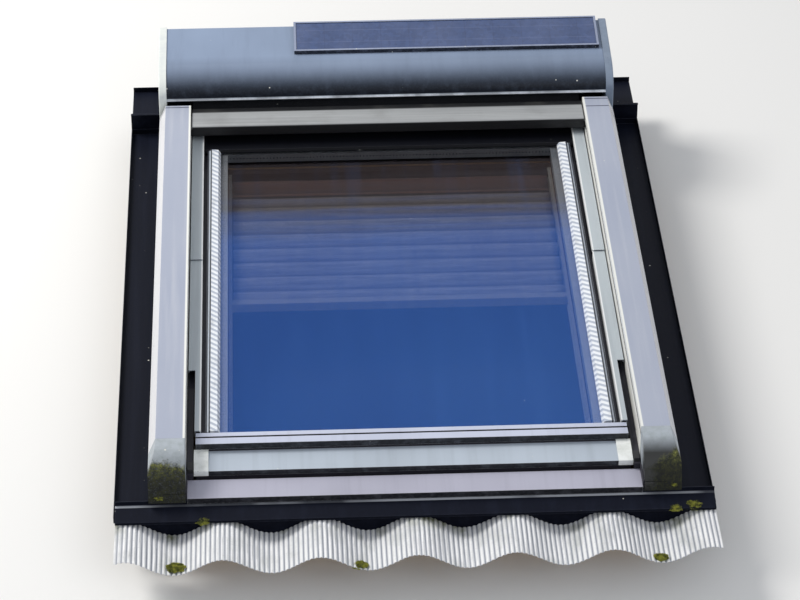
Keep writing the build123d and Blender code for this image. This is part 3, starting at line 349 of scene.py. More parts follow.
def fold_highlight(tree, colour):
    """Painted highlight: a pale line along the sill's upper fold, broken up along its length."""
    up_slope = axes_of(tree)["Y"]
    off_fold = gap(tree, up_slope, sill_fold - sill_fold_band)
    line = spread(tree, off_fold, sill_fold_band, sill_fold_band * 0.7)
    lit_here = spread(tree, cloud(tree, 5.0, (1, 0.1, 0.1), 3.0), 0.42, 0.56, 0.15, 0.9)
    return lay_over(tree, times(tree, line, lit_here), colour, tone(176, 180, 188))


for use, own_lines, flashings in (
    ("gutter", None, ("side_flashing_left", "side_flashing_right", "head_flashing")),
    ("sill", fold_highlight, ("sill_flashing",)),
):
    flashing_coat = weathered_coating(
        f"dark_{use}_coat", flashing_paint_and_shade, flashing_film, dust_and_light_share=0.1, specks=0.35,
        roughness=0.55, worn=tone(84, 88, 102), gloss=0.08, runs=0.14, detail=own_lines,
    )
    dress(flashing_coat, *flashings)

# Pleated apron
# Soft aluminium sheet, coated pale grey and pleated fine, so that it dresses over the waves by hand.
# It is tucked and glued under the sill, and follows the six waves that the sill spans.

apron_low, apron_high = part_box("pleated_apron")
apron_wave = 0.150
apron_wave_rise = 0.027
apron_pleat = 0.0075
apron_pleat_depth = 0.0021
apron_sway = 0.0011
apron_dent = 0.0012
apron_tuck = 0.030
apron_sheet = 0.0009
apron_rows = 26
apron_columns_per_pleat = 6


def node_group(name, **labels_by_kind):
    """Geometry node tree and its given values, named under their kind of socket."""
    group = bpy.data.node_groups.new(name, "GeometryNodeTree")
    for kind, labels in labels_by_kind.items():
        for label in labels:
            group.interface.new_socket(label, in_out="INPUT", socket_type=f"NodeSocket{kind}")
    group.interface.new_socket("Geometry", in_out="OUTPUT", socket_type="NodeSocketGeometry")
    return group, group.nodes.new("NodeGroupInput").outputs


def handed_out(group, geometry, finish):
    """Node tree that gives out this geometry, instances made real, in this finish."""
    real = put(group, "GeometryNodeRealizeInstances", {"Geometry": geometry})
    done = put(group, "GeometryNodeSetMaterial", {"Geometry": real.outputs[0], "Material": finish})
    put(group, "NodeGroupOutput", {"Geometry": done.outputs[0]})
    return group


def placed(name, content):
    """New object in the scene that holds this mesh, lamp or camera."""
    thing = bpy.data.objects.new(name, content)
    bpy.context.collection.objects.link(thing)
    return thing


def grown(name, group, values):
    """Plain mesh object made by a geometry node tree with these input values."""
    start = placed(f"{name}_start", bpy.data.meshes.new(f"{name}_start"))
    modifier = start.modifiers.new("grow", "NODES")
    modifier.node_group = group
    for item in group.interface.items_tree:
        if item.in_out == "INPUT" and item.name in values:
            modifier[item.identifier] = values[item.name]
    ready = start.evaluated_get(bpy.context.evaluated_depsgraph_get())
    mesh = bpy.data.meshes.new_from_object(ready)
    bpy.data.objects.remove(start)
    mesh.name = name
    return placed(name, mesh)


def apron_tree():
    """Grid that is waved over the tiles, pleated across and dented a little by hand."""
    group, given = node_group(
        "pleated_sheet",
        Float=("Width", "Length", "Wave", "Wave Rise", "Pleat", "Pleat Depth", "Dent"),
        Vector=("Middle",),
        Int=("Columns", "Rows"),
        Material=("Finish",),
    )
    size = {"Size X": given["Width"], "Size Y": given["Length"]}
    counts = {"Vertices X": given["Columns"], "Vertices Y": given["Rows"]}
    grid = put(group, "GeometryNodeMeshGrid", {**size, **counts})
    place = put(group, "GeometryNodeInputPosition", {}).outputs[0]
    axes = axes_of(group, place)
    sway = noise(group, reckon_vector(group, "MULTIPLY", place, (1.0, 0.35, 1.0)), 38.0, 2.0)
    dents = noise(group, place, 17.0, 3.0)
    turn = reckon(group, "DIVIDE", times(group, axes["X"], 2 * math.pi), given["Wave"])
    wave = times(group, reckon(group, "COSINE", turn), given["Wave Rise"])
    wave = times(group, minus(group, wave, given["Wave Rise"]), 0.5)
    leaned = plus(group, axes["X"], spread(group, sway, 0.3, 0.7, -apron_sway, apron_sway))
    half_pleat = times(group, given["Pleat"], 0.5)
    fold = times(group, zigzag(group, leaned, half_pleat), given["Pleat Depth"])
    dent = times(group, spread(group, dents, 0.35, 0.75), given["Dent"])
    height = minus(group, minus(group, wave, fold), dent)
    lift = put(group, "ShaderNodeCombineXYZ", {"Z": height}).outputs[0]
    lift = reckon_vector(group, "ADD", lift, given["Middle"])
    moved = put(group, "GeometryNodeSetPosition", {"Geometry": grid.outputs["Mesh"], "Offset": lift})
    return handed_out(group, moved.outputs[0], given["Finish"])


def apron_coat():
    """Pale coating with painted shade in the creases, and moss green washed down from the sill at places.
    """
    material, tree, shader = new_finish("pleated_apron_coat")
    axes = axes_of(tree)
    crease_shade = spread(tree, zigzag(tree, axes["X"], apron_pleat / 2), 0.40, 0.95, 0.0, 0.85)
    grime = cloud(tree, 30.0, (1, 0.5, 1), 6.0)
    fine = cloud(tree, 420.0, detail=5.0)
    tuck = spread(tree, axes["Y"], apron_high.y - apron_tuck, apron_high.y - 0.004)
    green = times(tree, spread(tree, grime, 0.50, 0.70), plus(tree, tuck, 0.12))
    colour = lay_over(tree, crease_shade, tone(238, 239, 240), tone(92, 102, 124))
    colour = stain(tree, colour, grime, 0.45, 0.75, 0.35, tone(148, 154, 160))
    colour = stain(tree, colour, fine, 0.55, 0.8, 0.3, tone(104, 108, 110))
    colour = lay_over(tree, green, colour, tone(96, 100, 52))
    surface(tree, shader, colour, spread(tree, fine, 0.3, 0.7, 0.42, 0.62))
    relief(tree, shader, fine, 0.00025)
    return material


apron = grown(
    "pleated_apron_sheet",
    apron_tree(),
    {
        "Width": apron_high.x - apron_low.x,
        "Length": apron_high.y - apron_low.y,
        "Middle": ((apron_low.x + apron_high.x) / 2, (apron_low.y + apron_high.y) / 2, apron_high.z),
        "Wave": apron_wave,
        "Wave Rise": apron_wave_rise,
        "Pleat": apron_pleat,
        "Pleat Depth": apron_pleat_depth,
        "Dent": apron_dent,
        "Columns": round((apron_high.x - apron_low.x) / apron_pleat) * apron_columns_per_pleat + 1,
        "Rows": apron_rows,
        "Finish": apron_coat(),
    },
)
wall = apron.modifiers.new("sheet", "SOLIDIFY")
wall.thickness = apron_sheet
wall.offset = -1.0
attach(apron, "frame")
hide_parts("pleated_apron")

# Sheet covers on frame and sash
# Roll-formed aluminium in a satin light grey, dulled by weather, clipped and screwed on to the timber.
# The joint between the two side covers lies at the pivot.

cover_flank_shade = tone(14, 16, 23)
cover_worn = tone(232, 233, 236)
cover_inner_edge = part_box("lower_side_cover_right")[0].x
cover_edge_width = 0.0026


def edge_highlight(tree, colour):
    """Painted highlight: a bright line along the folded edge next to the glass."""
    across = axes_of(tree)["X"]
    inward = minus(tree, reckon(tree, "ABSOLUTE", across), cover_inner_edge)
    line = spread(tree, inward, cover_edge_width, cover_edge_width * 0.7, 0.0, 0.85)
    return lay_over(tree, line, colour, tone(244, 246, 246))


side_cover_coat = weathered_coating(
    "side_cover_coat", tone(112, 120, 130), tone(189, 198, 204), dust_and_light_share=0.98, roughness=0.36,
    worn=cover_worn, detail=edge_highlight,
)
for side in ("left", "right"):
    dress(side_cover_coat, f"lower_side_cover_{side}", f"upper_side_cover_{side}")

# Painted shade: on these covers the steep faces are near-black, and the flat faces take their grey.
for cover, dust_and_light_tone in (
    ("bottom_bead", tone(200, 206, 226)),
    ("sash_bottom_cover", tone(184, 195, 208)),
    ("frame_bottom_cover", tone(181, 181, 198)),
):
    end_coat = weathered_coating(
        f"{cover}_coat", cover_flank_shade, dust_and_light_tone, dust_and_light_share=0.97, specks=0.35, roughness=0.38,
        worn=cover_worn, steep=(0.5, 0.98), runs=0.1,
    )
    dress(end_coat, cover)

# Painted shade: the covers at the head, under the cassette, are near-black.
head_cover_shade_coat = weathered_coating(
    "head_cover_shade_coat", tone(8, 9, 14), tone(24, 26, 34), dust_and_light_share=0.3, specks=0.05, roughness=0.5,
    worn=tone(84, 86, 92), gloss=0.1,
)
dress(head_cover_shade_coat, "sash_top_cover", "frame_top_cover")

# Side glazing beads
# Extruded aluminium beads that press a ribbed gasket on to the glass.
# The ribs run slantwise, with painted light on their backs and painted shade between, and two grooves
# with painted shade run beside them.

bead_rib_pitch = 0.014
bead_rib_slant = 0.7
bead_rib_edge = 0.3185
bead_rib_depth = 0.0006
bead_grooves = {0.0012: (0.0013, 0.0008), 0.0062: (0.0016, 0.0010)}


def ribbed_bead():
    """Satin coat with slanting ribs, painted light on their backs and painted shade between and in the
    grooves. A groove's mouth and floor reach so far from its middle.
    """
    material, tree, shader = new_finish("ribbed_bead_coat")
    axes = axes_of(tree)
    slanted = plus(tree, axes["Y"], times(tree, axes["X"], bead_rib_slant))
    rib = zigzag(tree, slanted, bead_rib_pitch / 2)
    dirt = cloud(tree, 90.0, (1, 0.3, 1), 5.0)
    out = minus(tree, reckon(tree, "ABSOLUTE", axes["X"]), bead_rib_edge)
    plain = spread(tree, out, -0.0004, 0.0004)
    groove = 0.0
    for middle, (mouth, floor) in bead_grooves.items():
        groove = reckon(tree, "MAXIMUM", groove, spread(tree, gap(tree, out, middle), mouth, floor))
    # Painted light on the ribs' backs, painted shade between them and in the grooves.
    colour = stain(tree, tone(238, 242, 247), rib, 0.34, 0.72, 0.8, tone(158, 168, 188))
    colour = lay_over(tree, plain, colour, tone(196, 204, 214))
    colour = lay_over(tree, groove, colour, tone(26, 32, 46))
    colour = stain(tree, colour, dirt, 0.5, 0.8, 0.4, tone(128, 134, 142))
    rounding = rounded_edge(tree, 0.0008)[0]
    surface(tree, shader, colour, spread(tree, dirt, 0.3, 0.7, 0.32, 0.5))
    raised = times(tree, minus(tree, 1.0, rib), minus(tree, 1.0, plain))
    relief(tree, shader, minus(tree, raised, groove), bead_rib_depth, rounding)
    return material


dress(ribbed_bead(), "side_bead_left", "side_bead_right")

# End pieces of the bottom cover and rubber buffers
# White moulded plastic corners, dusty and a little green, over black rubber blocks on the frame.
# The blocks cushion the sash when it shuts.


def moulded_plastic(name, colour, dirt, dirt_share=0.5, roughness=0.5):
    """Moulded plastic with a fine spark-eroded grain and dirt in broad patches."""
    material, tree, shader = new_finish(name)
    patches = cloud(tree, 60.0, detail=6.0)
    grain = cloud(tree, 2600.0, detail=1.0)
    coat = stain(tree, colour, patches, 0.42, 0.72, dirt_share, dirt)
    coat = lay_over(tree, spots(tree, 160.0, 0.16, 0.3), coat, dirt)
    rounding, edges = rounded_edge(tree, 0.0009)
    coat = lay_over(tree, times(tree, edges, 0.3), coat, colour)
    rough = spread(tree, patches, 0.3, 0.7, roughness - 0.06, roughness + 0.1)
    surface(tree, shader, coat, rough)
    relief(tree, shader, grain, 0.00004, rounding)
    return material


corner_plastic = moulded_plastic("white_corner_plastic", tone(240, 243, 242), tone(170, 176, 166), 0.45)
dress(corner_plastic, "cover_end_pieces")
rubber = moulded_plastic("black_rubber", tone(30, 31, 34), tone(78, 80, 82), 0.35, 0.72)
dress(rubber, "rubber_buffers", "sash_seal")

# Insulating glass unit
# Two panes of float glass held apart by a bright perforated spacer; the outer pane's blue mirror is
# painted sky reflection.
# Rain leaves a thin veil with faint runs down the slope.

# Painted reflection: the two blues stand for the sky, the dim grey for the hood over it, and the dark
# brown for painted shade near the head.
sky_reflection_deep = tone(50, 96, 178)
sky_reflection_light = tone(62, 112, 194)
hood_reflection_tone = tone(60, 54, 58)
hood_reflection_low = 0.118
hood_reflection_high = 0.242
glass_shade = tone(38, 28, 30)
glass_shade_low = 0.290
glass_shade_high = 0.345
glass_band_wander = 0.035
spacer_hole_pitch = 0.006
spacer_hole_reach = 0.0011


def coated_glass(name, opacity):
    """Float glass, part mirror and part clear: the mirror's blue is painted sky reflection, turning to
    painted reflection of the hood and painted shade towards the shutter.
    """
    material, tree, shader = new_finish(name)
    drift = cloud(tree, 1.6, (1, 0.6, 1), 2.0)
    runs = cloud(tree, 42.0, (1, 0.05, 1), 4.0)
    band_wander = cloud(tree, 46.0, (0.035, 1, 1), 4.0)
    dust = cloud(tree, 300.0, detail=6.0)
    up_slope = axes_of(tree)["Y"]
    ragged = plus(tree, up_slope, spread(tree, band_wander, 0.3, 0.7, -glass_band_wander, glass_band_wander))
    hood_reflected = spread(tree, ragged, hood_reflection_low, hood_reflection_high)
    shaded = spread(tree, ragged, glass_shade_low, glass_shade_high)
    colour = lay_over(tree, spread(tree, drift, 0.35, 0.65), sky_reflection_deep, sky_reflection_light)
    colour = lay_over(tree, hood_reflected, colour, hood_reflection_tone)
    colour = lay_over(tree, shaded, colour, glass_shade)
    colour = stain(tree, colour, runs, 0.5, 0.8, 0.12, tone(90, 136, 206))
    colour = lay_over(tree, spots(tree, 38.0, 0.10, 0.16), colour, tone(214, 220, 228))
    veil = plus(tree, spread(tree, runs, 0.4, 0.8, 0.0, 0.05), spread(tree, dust, 0.5, 0.8, 0.0, 0.03))
    rough = spread(tree, dust, 0.3, 0.8, 0.04, 0.10)
    alpha = plus(tree, veil, opacity)
    wire(tree, shader, {"Base Color": colour, "Metallic": 1.0, "Alpha": alpha, "Roughness": rough})
    return material


def perforated_spacer():
    """Bright folded aluminium with a row of round holes for the drying beads."""
    material, tree, shader = new_finish("perforated_spacer_metal")
    low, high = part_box("glass_spacer")
    axes = axes_of(tree)
    along = reckon(tree, "PINGPONG", plus(tree, axes["X"], axes["Y"]), spacer_hole_pitch / 2)
    up = minus(tree, axes["Z"], (low.z + high.z) / 2)
    away = plus(tree, times(tree, along, along), times(tree, up, up))
    hole = reckon(tree, "LESS_THAN", away, spacer_hole_reach**2)
    rolled = cloud(tree, 800.0, (1, 0.05, 1))
    colour = lay_over(tree, spread(tree, rolled, 0.3, 0.7), tone(216, 226, 240), tone(236, 242, 250))
    colour = lay_over(tree, hole, colour, tone(24, 26, 30))
    dull = spread(tree, rolled, 0.3, 0.7, 0.3, 0.45)
    wire(tree, shader, {"Base Color": colour, "Metallic": 0.2, "Roughness": dull})
    relief(tree, shader, minus(tree, 1.0, hole), 0.0003)
    return material


dress(coated_glass("coated_outer_pane", 0.42), "outer_pane")
dress(coated_glass("clear_inner_pane", 0.03), "inner_pane")
dress(perforated_spacer(), "glass_spacer")

# Control bar, ventilation flap and blind rails
# Aluminium with a white satin powder coat, on small turned pins at the head of the sash.
# The blind's side guides and bottom bar have the same coat, and its head rail a dark brown one as painted
# shade.


def powder_coat(name, colour, soil):
    """Powder coat, smooth with a faint peel and finger marks."""
    material, tree, shader = new_finish(name)
    peel = cloud(tree, 900.0, detail=1.0)
    marks = cloud(tree, 24.0, detail=5.0)
    coat = stain(tree, colour, marks, 0.5, 0.8, 0.2, soil)
    rounding, edges = rounded_edge(tree, 0.0008)
    coat = lay_over(tree, times(tree, edges, 0.3), coat, soil)
    surface(tree, shader, coat, spread(tree, marks, 0.3, 0.7, 0.32, 0.42))
    relief(tree, shader, peel, 0.00004, rounding)
    return material


white_coat = powder_coat("white_powder_coat", tone(226, 226, 222), tone(176, 172, 162))
dress(white_coat, "control_brackets", "control_bar", "vent_flap", "blind_guides", "blind_bottom_bar")
# Painted shade: the head rail is dark brown.
dress(powder_coat("brown_shade_powder_coat", tone(64, 44, 40), tone(92, 74, 66)), "blind_head_rail")

# Pleated blind
# Polyester cloth with pressed pleats, hung between the head rail and the bottom bar in its side guides.
# It is lowered to about the middle of the glass, and the pleats draw out as the bar goes down.

cloth_low, cloth_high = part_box("blind_cloth")
cloth_pleats = 9
cloth_columns = 40
cloth_rows_per_pleat = 8
cloth_sheet = 0.0005
cloth_slack = 0.0006
cloth_fold = (cloth_high.y - cloth_low.y) / cloth_pleats
brown_folds = 1.6


def blind_weave():
    """Woven cloth with painted shade: brown in its first folds, greyer in the next, pale below, darker in
    each fold and its creases, with a dark line under the brown.
    """
    material, tree, shader = new_finish("pleated_blind_cloth")
    spot = put(tree, "ShaderNodeUVMap", {}, uv_map="cloth").outputs["UV"]
    weave = put(tree, "ShaderNodeTexChecker", {"Vector": spot, "Scale": 2200.0}).outputs["Fac"]
    threads = put(tree, "ShaderNodeMapping", {"Vector": spot, "Scale": (0.05, 1, 1)})
    slubs = noise(tree, threads.outputs["Vector"], 220.0, 4.0)
    drop = axes_of(tree, spot)["Y"]
    folds = reckon(tree, "DIVIDE", drop, cloth_fold)
    off_crest = zigzag(tree, folds, 0.5)
    crease_shade = spread(tree, off_crest, 0.32, 0.0)
    shaded = spread(tree, off_crest, 0.0, 1.0, 0.35, 0.0)
    # Painted shade: the brown first folds, the greyer next ones, and the darker folds and creases.
    brown = spread(tree, folds, brown_folds + 0.02, brown_folds - 0.02)
    colour = lay_over(tree, spread(tree, folds, 3.3, 2.6), tone(240, 240, 243), tone(214, 208, 204))
    colour = lay_over(tree, brown, colour, tone(142, 94, 76))
    colour = stain(tree, colour, slubs, 0.42, 0.7, 0.5, tone(128, 124, 134))
    colour = lay_over(tree, shaded, colour, tone(70, 66, 76))
    colour = lay_over(tree, times(tree, crease_shade, 0.5), colour, tone(40, 38, 50))
    dark_line = spread(tree, gap(tree, drop, cloth_fold * brown_folds), 0.0030, 0.0018)
    colour = lay_over(tree, dark_line, colour, tone(12, 10, 14))
    wire(tree, shader, {"Base Color": colour, "Roughness": 0.85, "Sheen Weight": 0.15})
    relief(tree, shader, weave, 0.00006)
    return material


def pleated_cloth():
    """Folded sheet, its folds softly rounded and swelling a little between the guides."""
    width = cloth_high.x - cloth_low.x
    length = cloth_high.y - cloth_low.y
    rows = cloth_pleats * cloth_rows_per_pleat
    middle = (cloth_low.z + cloth_high.z) / 2
    swing = (cloth_high.z - cloth_low.z) / 2 - cloth_sheet
    points = []
    for row in range(rows + 1):
        share = row / rows
        fold = -math.cos(2 * math.pi * cloth_pleats * share)
        fold = math.copysign(abs(fold) ** 0.8, fold)
        for column in range(cloth_columns + 1):
            across = column / cloth_columns
            slack = cloth_slack * math.sin(5 * math.pi * across + 2.1 * row)
            down = cloth_high.y - length * share + slack
            points.append((cloth_low.x + width * across, down, middle + swing * fold))
    step = cloth_columns + 1
    starts = [row * step + column for row in range(rows) for column in range(cloth_columns)]
    faces = [(start, start + step, start + step + 1, start + 1) for start in starts]
    mesh = bpy.data.meshes.new("blind_cloth_folds")
    mesh.from_pydata(points, [], faces)
    mesh.polygons.foreach_set("use_smooth", [True] * len(faces))
    spots_on_cloth = mesh.uv_layers.new(name="cloth").data
    for loop in mesh.loops:
        row, column = divmod(loop.vertex_index, step)
        spots_on_cloth[loop.index].uv = (width * column / cloth_columns, length * row / rows)
    mesh.materials.append(blind_weave())
    return placed("blind_cloth_folds", mesh), rows


blind, blind_rows = pleated_cloth()
blind_wall = blind.modifiers.new("cloth", "SOLIDIFY")
blind_wall.thickness = cloth_sheet
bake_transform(blind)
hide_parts("blind_cloth")

# Guide rails of the shutter
# Extruded aluminium rails with a bevelled outer flank, screwed to the frame's sides, coated a lilac grey.
# Their moulded end caps stay damp, so moss grows over the lower half.

# Painted highlight: the rails' steep flanks and inner edge are paler than their tops.
rail_flank_light = tone(214, 215, 219)
rail_top_tone = tone(156, 164, 184)
rail_worn = tone(236, 236, 238)
rail_lit_edge = 0.0042
rail_grooves = {"guide_rail_left": (0.0065,), "guide_rail_right": (0.0065, 0.0330)}
cap_screw_setback = 0.010
cap_screw_depth = 0.0008
cap_screw_radius = 0.0022


def grooved_rail(name):
    """Rail coat with the saw-cut grooves near the head, and a painted highlight along the inner edge."""
    low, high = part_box(name)
    inner = low.x if low.x > 0 else high.x
    outward = 1.0 if low.x > 0 else -1.0

    def lines(tree, colour):
        axes = axes_of(tree)
        inward = times(tree, minus(tree, axes["X"], inner), outward)
        colour = stain(tree, colour, inward, rail_lit_edge, 0.0030, 0.85, tone(242, 243, 236))
        face = spread(tree, inward, 0.0030, 0.0045)
        for setback in rail_grooves[name]:
            line = spread(tree, gap(tree, axes["Y"], high.y - setback), 0.0016, 0.0009)
            colour = lay_over(tree, times(tree, line, face), colour, tone(70, 72, 90))
        return colour

    coat = weathered_coating(
        f"{name}_coat", rail_flank_light, rail_top_tone, dust_and_light_share=0.96, roughness=0.34, worn=rail_worn,
        steep=(0.6, 0.99), gloss=0.3, detail=lines,
    )
    dress(coat, name)


grooved_rail("guide_rail_left")
grooved_rail("guide_rail_right")


def mossy_plastic(name, shaded_end, moss_inward):
    """Grey-green moulded cap, with yellow-green moss over its lower end and painted shade below it.

    Painted shade darkens the lower end by shaded_end, the hollows between cushions and the foot, and the
    moss thins out by moss_inward to the window.
    """
    material, tree, shader = new_finish(f"{name}_plastic")
    low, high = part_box(name)
    axes = axes_of(tree)
    ragged = cloud(tree, 85.0, detail=7.0, roughness=0.65)
    cushions = cloud(tree, 330.0, detail=6.0, roughness=0.7)
    hue = cloud(tree, 140.0, detail=3.0)
    outer = spread(tree, reckon(tree, "ABSOLUTE", axes["X"]), 0.360, 0.408, -moss_inward, 0.12)
    down = plus(tree, spread(tree, axes["Y"], high.y - 0.045, low.y + 0.010), outer)
    grown_over = spread(tree, plus(tree, down, minus(tree, ragged, 0.5)), 0.36, 0.64)
    grown_over = times(tree, grown_over, spread(tree, cushions, 0.30, 0.48, 0.70, 1.0))
    bare = stain(tree, tone(168, 176, 184), ragged, 0.4, 0.75, 0.5, tone(124, 134, 132))
    bare = lay_over(tree, spots(tree, 90.0, 0.16, 0.3), bare, lime_speck)
    # Painted shade: near-black towards the lower end.
    low_end_shade = spread(tree, axes["Y"], high.y - 0.036, low.y + 0.026, 0.0, shaded_end)
    bare = lay_over(tree, low_end_shade, bare, tone(17, 20, 20))
    bare = stain(tree, bare, axes["Y"], high.y - 0.0024, high.y - 0.0014, 0.7, tone(92, 98, 104))
    screw = ((low.x + high.x) / 2, high.y - cap_screw_setback, high.z - cap_screw_depth)
    off_screw = put(tree, "ShaderNodeVectorMath", {0: places(tree), 1: screw}, operation="DISTANCE")
    screw_here = spread(tree, off_screw.outputs["Value"], cap_screw_radius + 0.0008, cap_screw_radius)
    bare = lay_over(tree, screw_here, bare, tone(44, 48, 52))
    moss = lay_over(tree, spread(tree, hue, 0.40, 0.66), tone(34, 40, 30), tone(104, 108, 56))
    moss = stain(tree, moss, cushions, 0.54, 0.72, 0.75, tone(164, 164, 84))
    # Painted shade in the hollows between cushions and at the foot.
    moss = lay_over(tree, spread(tree, cushions, 0.50, 0.36), moss, tone(14, 16, 16))
    moss = stain(tree, moss, axes["Y"], low.y + 0.026, low.y + 0.010, 0.85, tone(12, 14, 14))
    colour = lay_over(tree, grown_over, bare, moss)
    rounding = rounded_edge(tree, 0.0015)[0]
    rough = spread(tree, grown_over, 0.0, 1.0, 0.5, 0.95)
    surface(tree, shader, colour, rough)
    relief(tree, shader, times(tree, cushions, grown_over), 0.0022, rounding)
    return material


dress(mossy_plastic("rail_end_cap_left", 0.35, 0.02), "rail_end_cap_left")
dress(mossy_plastic("rail_end_cap_right", 1.0, 0.62), "rail_end_cap_right")

# Shutter cassette
# Curved hood of coated aluminium over a folded base, closed by two moulded end plates.
# Painted light on the flat top and painted shade down the curved front, which is a dark slate blue.

# Painted light and painted shade: the pale top tone and the dark slate front tone.
hood_shade_tone = tone(14, 20, 31)
hood_light_tone = tone(142, 158, 184)
hood_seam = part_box("cassette_hood")[0]
hood_lip = hood_seam.z + 0.011
hood_lip_band = 0.0042
hood_lip_depth = 0.012
hood_nose = 0.009
hood_curve = 0.0435


def light_over_curve(tree):
    """Painted light that fades evenly from the flat top to the nose, leaving painted shade on the curved
    front.
    """
    height = axes_of(tree)["Z"]
    share = spread(tree, height, hood_lip + hood_nose, hood_lip + hood_curve)
    return reckon(tree, "POWER", share, 2.4)


def lip_highlight(tree, colour):
    """Painted highlight along the lower lip, in irregular glints."""
    axes = axes_of(tree)
    line = spread(tree, axes["Z"], hood_lip + hood_lip_band, hood_lip + hood_lip_band * 0.7)
    front = spread(tree, axes["Y"], hood_seam.y + hood_lip_depth, hood_seam.y + hood_lip_depth - 0.003)
    line = times(tree, line, front)
    glints = spread(tree, cloud(tree, 26.0, (1, 0.1, 0.1), 5.0), 0.40, 0.62, 0.55, 1.0)
    return lay_over(tree, times(tree, line, glints), colour, tone(224, 230, 238))


for cassette_part, own_lines in (("cassette_hood", lip_highlight), ("cassette_base", None)):
    hood_coat = weathered_coating(
        f"{cassette_part}_coat", hood_shade_tone, hood_light_tone, dust_and_light_share=0.98, roughness=0.36,
        worn=tone(130, 138, 152), gloss=0.16, runs=0.07, dust_and_light_mask=light_over_curve, detail=own_lines,
    )
    dress(hood_coat, cassette_part)

# Painted light and painted shade: the left end plate is pale, the right one a shaded blue-grey copy of
# the same plastic.
lit_end_plastic = moulded_plastic("lit_cassette_end_plastic", tone(220, 225, 222), tone(172, 182, 194), 0.3, 0.42)
dress(lit_end_plastic, "cassette_end_left")
shaded_plastic = moulded_plastic("shaded_end_plastic", tone(122, 136, 156), tone(96, 108, 126), 0.3, 0.42)
dress(shaded_plastic, "cassette_end_right", "shutter_motor")

# Roller tube and wound shutter
# Steel tube with the slats wound on it in a tight roll.
# It turns inside the cassette and lets the slats out through the slot.

dress(plated_steel("roller_tube_steel"), "roller_tube")
# Painted shade: the slats and their roll are near-black, as they lie in the hood's shade.
slat_shade_coat = weathered_coating(
    "slat_shade_coat", tone(14, 16, 21), tone(40, 43, 52), dust_and_light_share=0.4, specks=0.1, roughness=0.5,
    worn=tone(74, 78, 88), gloss=0.2,
)
dress(slat_shade_coat, "shutter_roll")

# Shutter slats
# Roll-formed aluminium slats, hooked together, that run in the rails' slots below the roll.
# With the shutter raised, only their first stretch is out, close under the hood's lip.

curtain_low, curtain_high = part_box("shutter_curtain")
slat_pitch = 0.024
slat_crown = 0.0022
slat_sheet = 0.0008
shutter_travel = 0.940


def slat_tree():
    """Row of crowned strips with a hooked lower edge."""
    group, given = node_group(
        "shutter_slats",
        Float=("Width", "Pitch", "Crown"),
        Int=("Count",),
        Vector=("Top",),
        Material=("Finish",),
    )
    strip = put(
        group,
        "GeometryNodeMeshGrid",
        {"Size X": given["Width"], "Size Y": given["Pitch"], "Vertices X": 3, "Vertices Y": 11},
    )
    place = put(group, "GeometryNodeInputPosition", {}).outputs[0]
    height = axes_of(group, place)["Y"]
    share = reckon(group, "DIVIDE", height, given["Pitch"])
    bow = minus(group, 0.25, times(group, share, share))
    hook = spread(group, share, -0.42, -0.5, 0.0, -0.6)
    rise = times(group, plus(group, times(group, bow, 4.0), hook), given["Crown"])
    lift = put(group, "ShaderNodeCombineXYZ", {"Z": rise}).outputs[0]
    bowed = put(group, "GeometryNodeSetPosition", {"Geometry": strip.outputs["Mesh"], "Offset": lift})
    down = put(group, "ShaderNodeCombineXYZ", {"Y": times(group, given["Pitch"], -1.0)}).outputs[0]
    row = put(
        group,
        "GeometryNodeMeshLine",
        {"Count": given["Count"], "Start Location": given["Top"], "Offset": down},
    )
    pairs = {"Points": row.outputs["Mesh"], "Instance": bowed.outputs[0]}
    placed = put(group, "GeometryNodeInstanceOnPoints", pairs)
    return handed_out(group, placed.outputs[0], given["Finish"])


def gathered(drawn, length, travel):
    """Distance from the fixed end, at rest, of a point that is this far from it when drawn out."""
    low, high = 0.0, 1.0
    while high - low > 1e-7:
        share = (low + high) / 2
        if length * share + travel * share * share * (3 - 2 * share) < drawn:
            low = share
        else:
            high = share
    return length * low


curtain_length = curtain_high.y - curtain_low.y
slat_count = math.floor((curtain_length + shutter_travel) / slat_pitch)
slat_middle = (curtain_low.z + curtain_high.z) / 2
curtain = grown(
    "shutter_slats",
    slat_tree(),
    {
        "Width": curtain_high.x - curtain_low.x,
        "Pitch": (curtain_length + shutter_travel) / slat_count,
        "Crown": slat_crown,
        "Count": slat_count,
        "Top": (0.0, curtain_high.y - slat_pitch / 2, slat_middle),
        "Finish": slat_shade_coat,
    },
)
for vertex in curtain.data.vertices:
    drawn_out = min(max(curtain_high.y - vertex.co.y, 0.0), curtain_length + shutter_travel)
    vertex.co.y = curtain_high.y - gathered(drawn_out, curtain_length, shutter_travel)
slat_wall = curtain.modifiers.new("sheet", "SOLIDIFY")
slat_wall.thickness = slat_sheet
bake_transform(curtain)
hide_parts("shutter_curtain")

# End bar of the shutter
# Extruded hollow bar in a warm grey, with fine drawn lines along it, and painted shade on a strip next to
# the hood and on its steep faces.
# It closes the cassette when the shutter is up and rests over the sash's bottom cover when it is down.

bar_shade_strip = 0.018


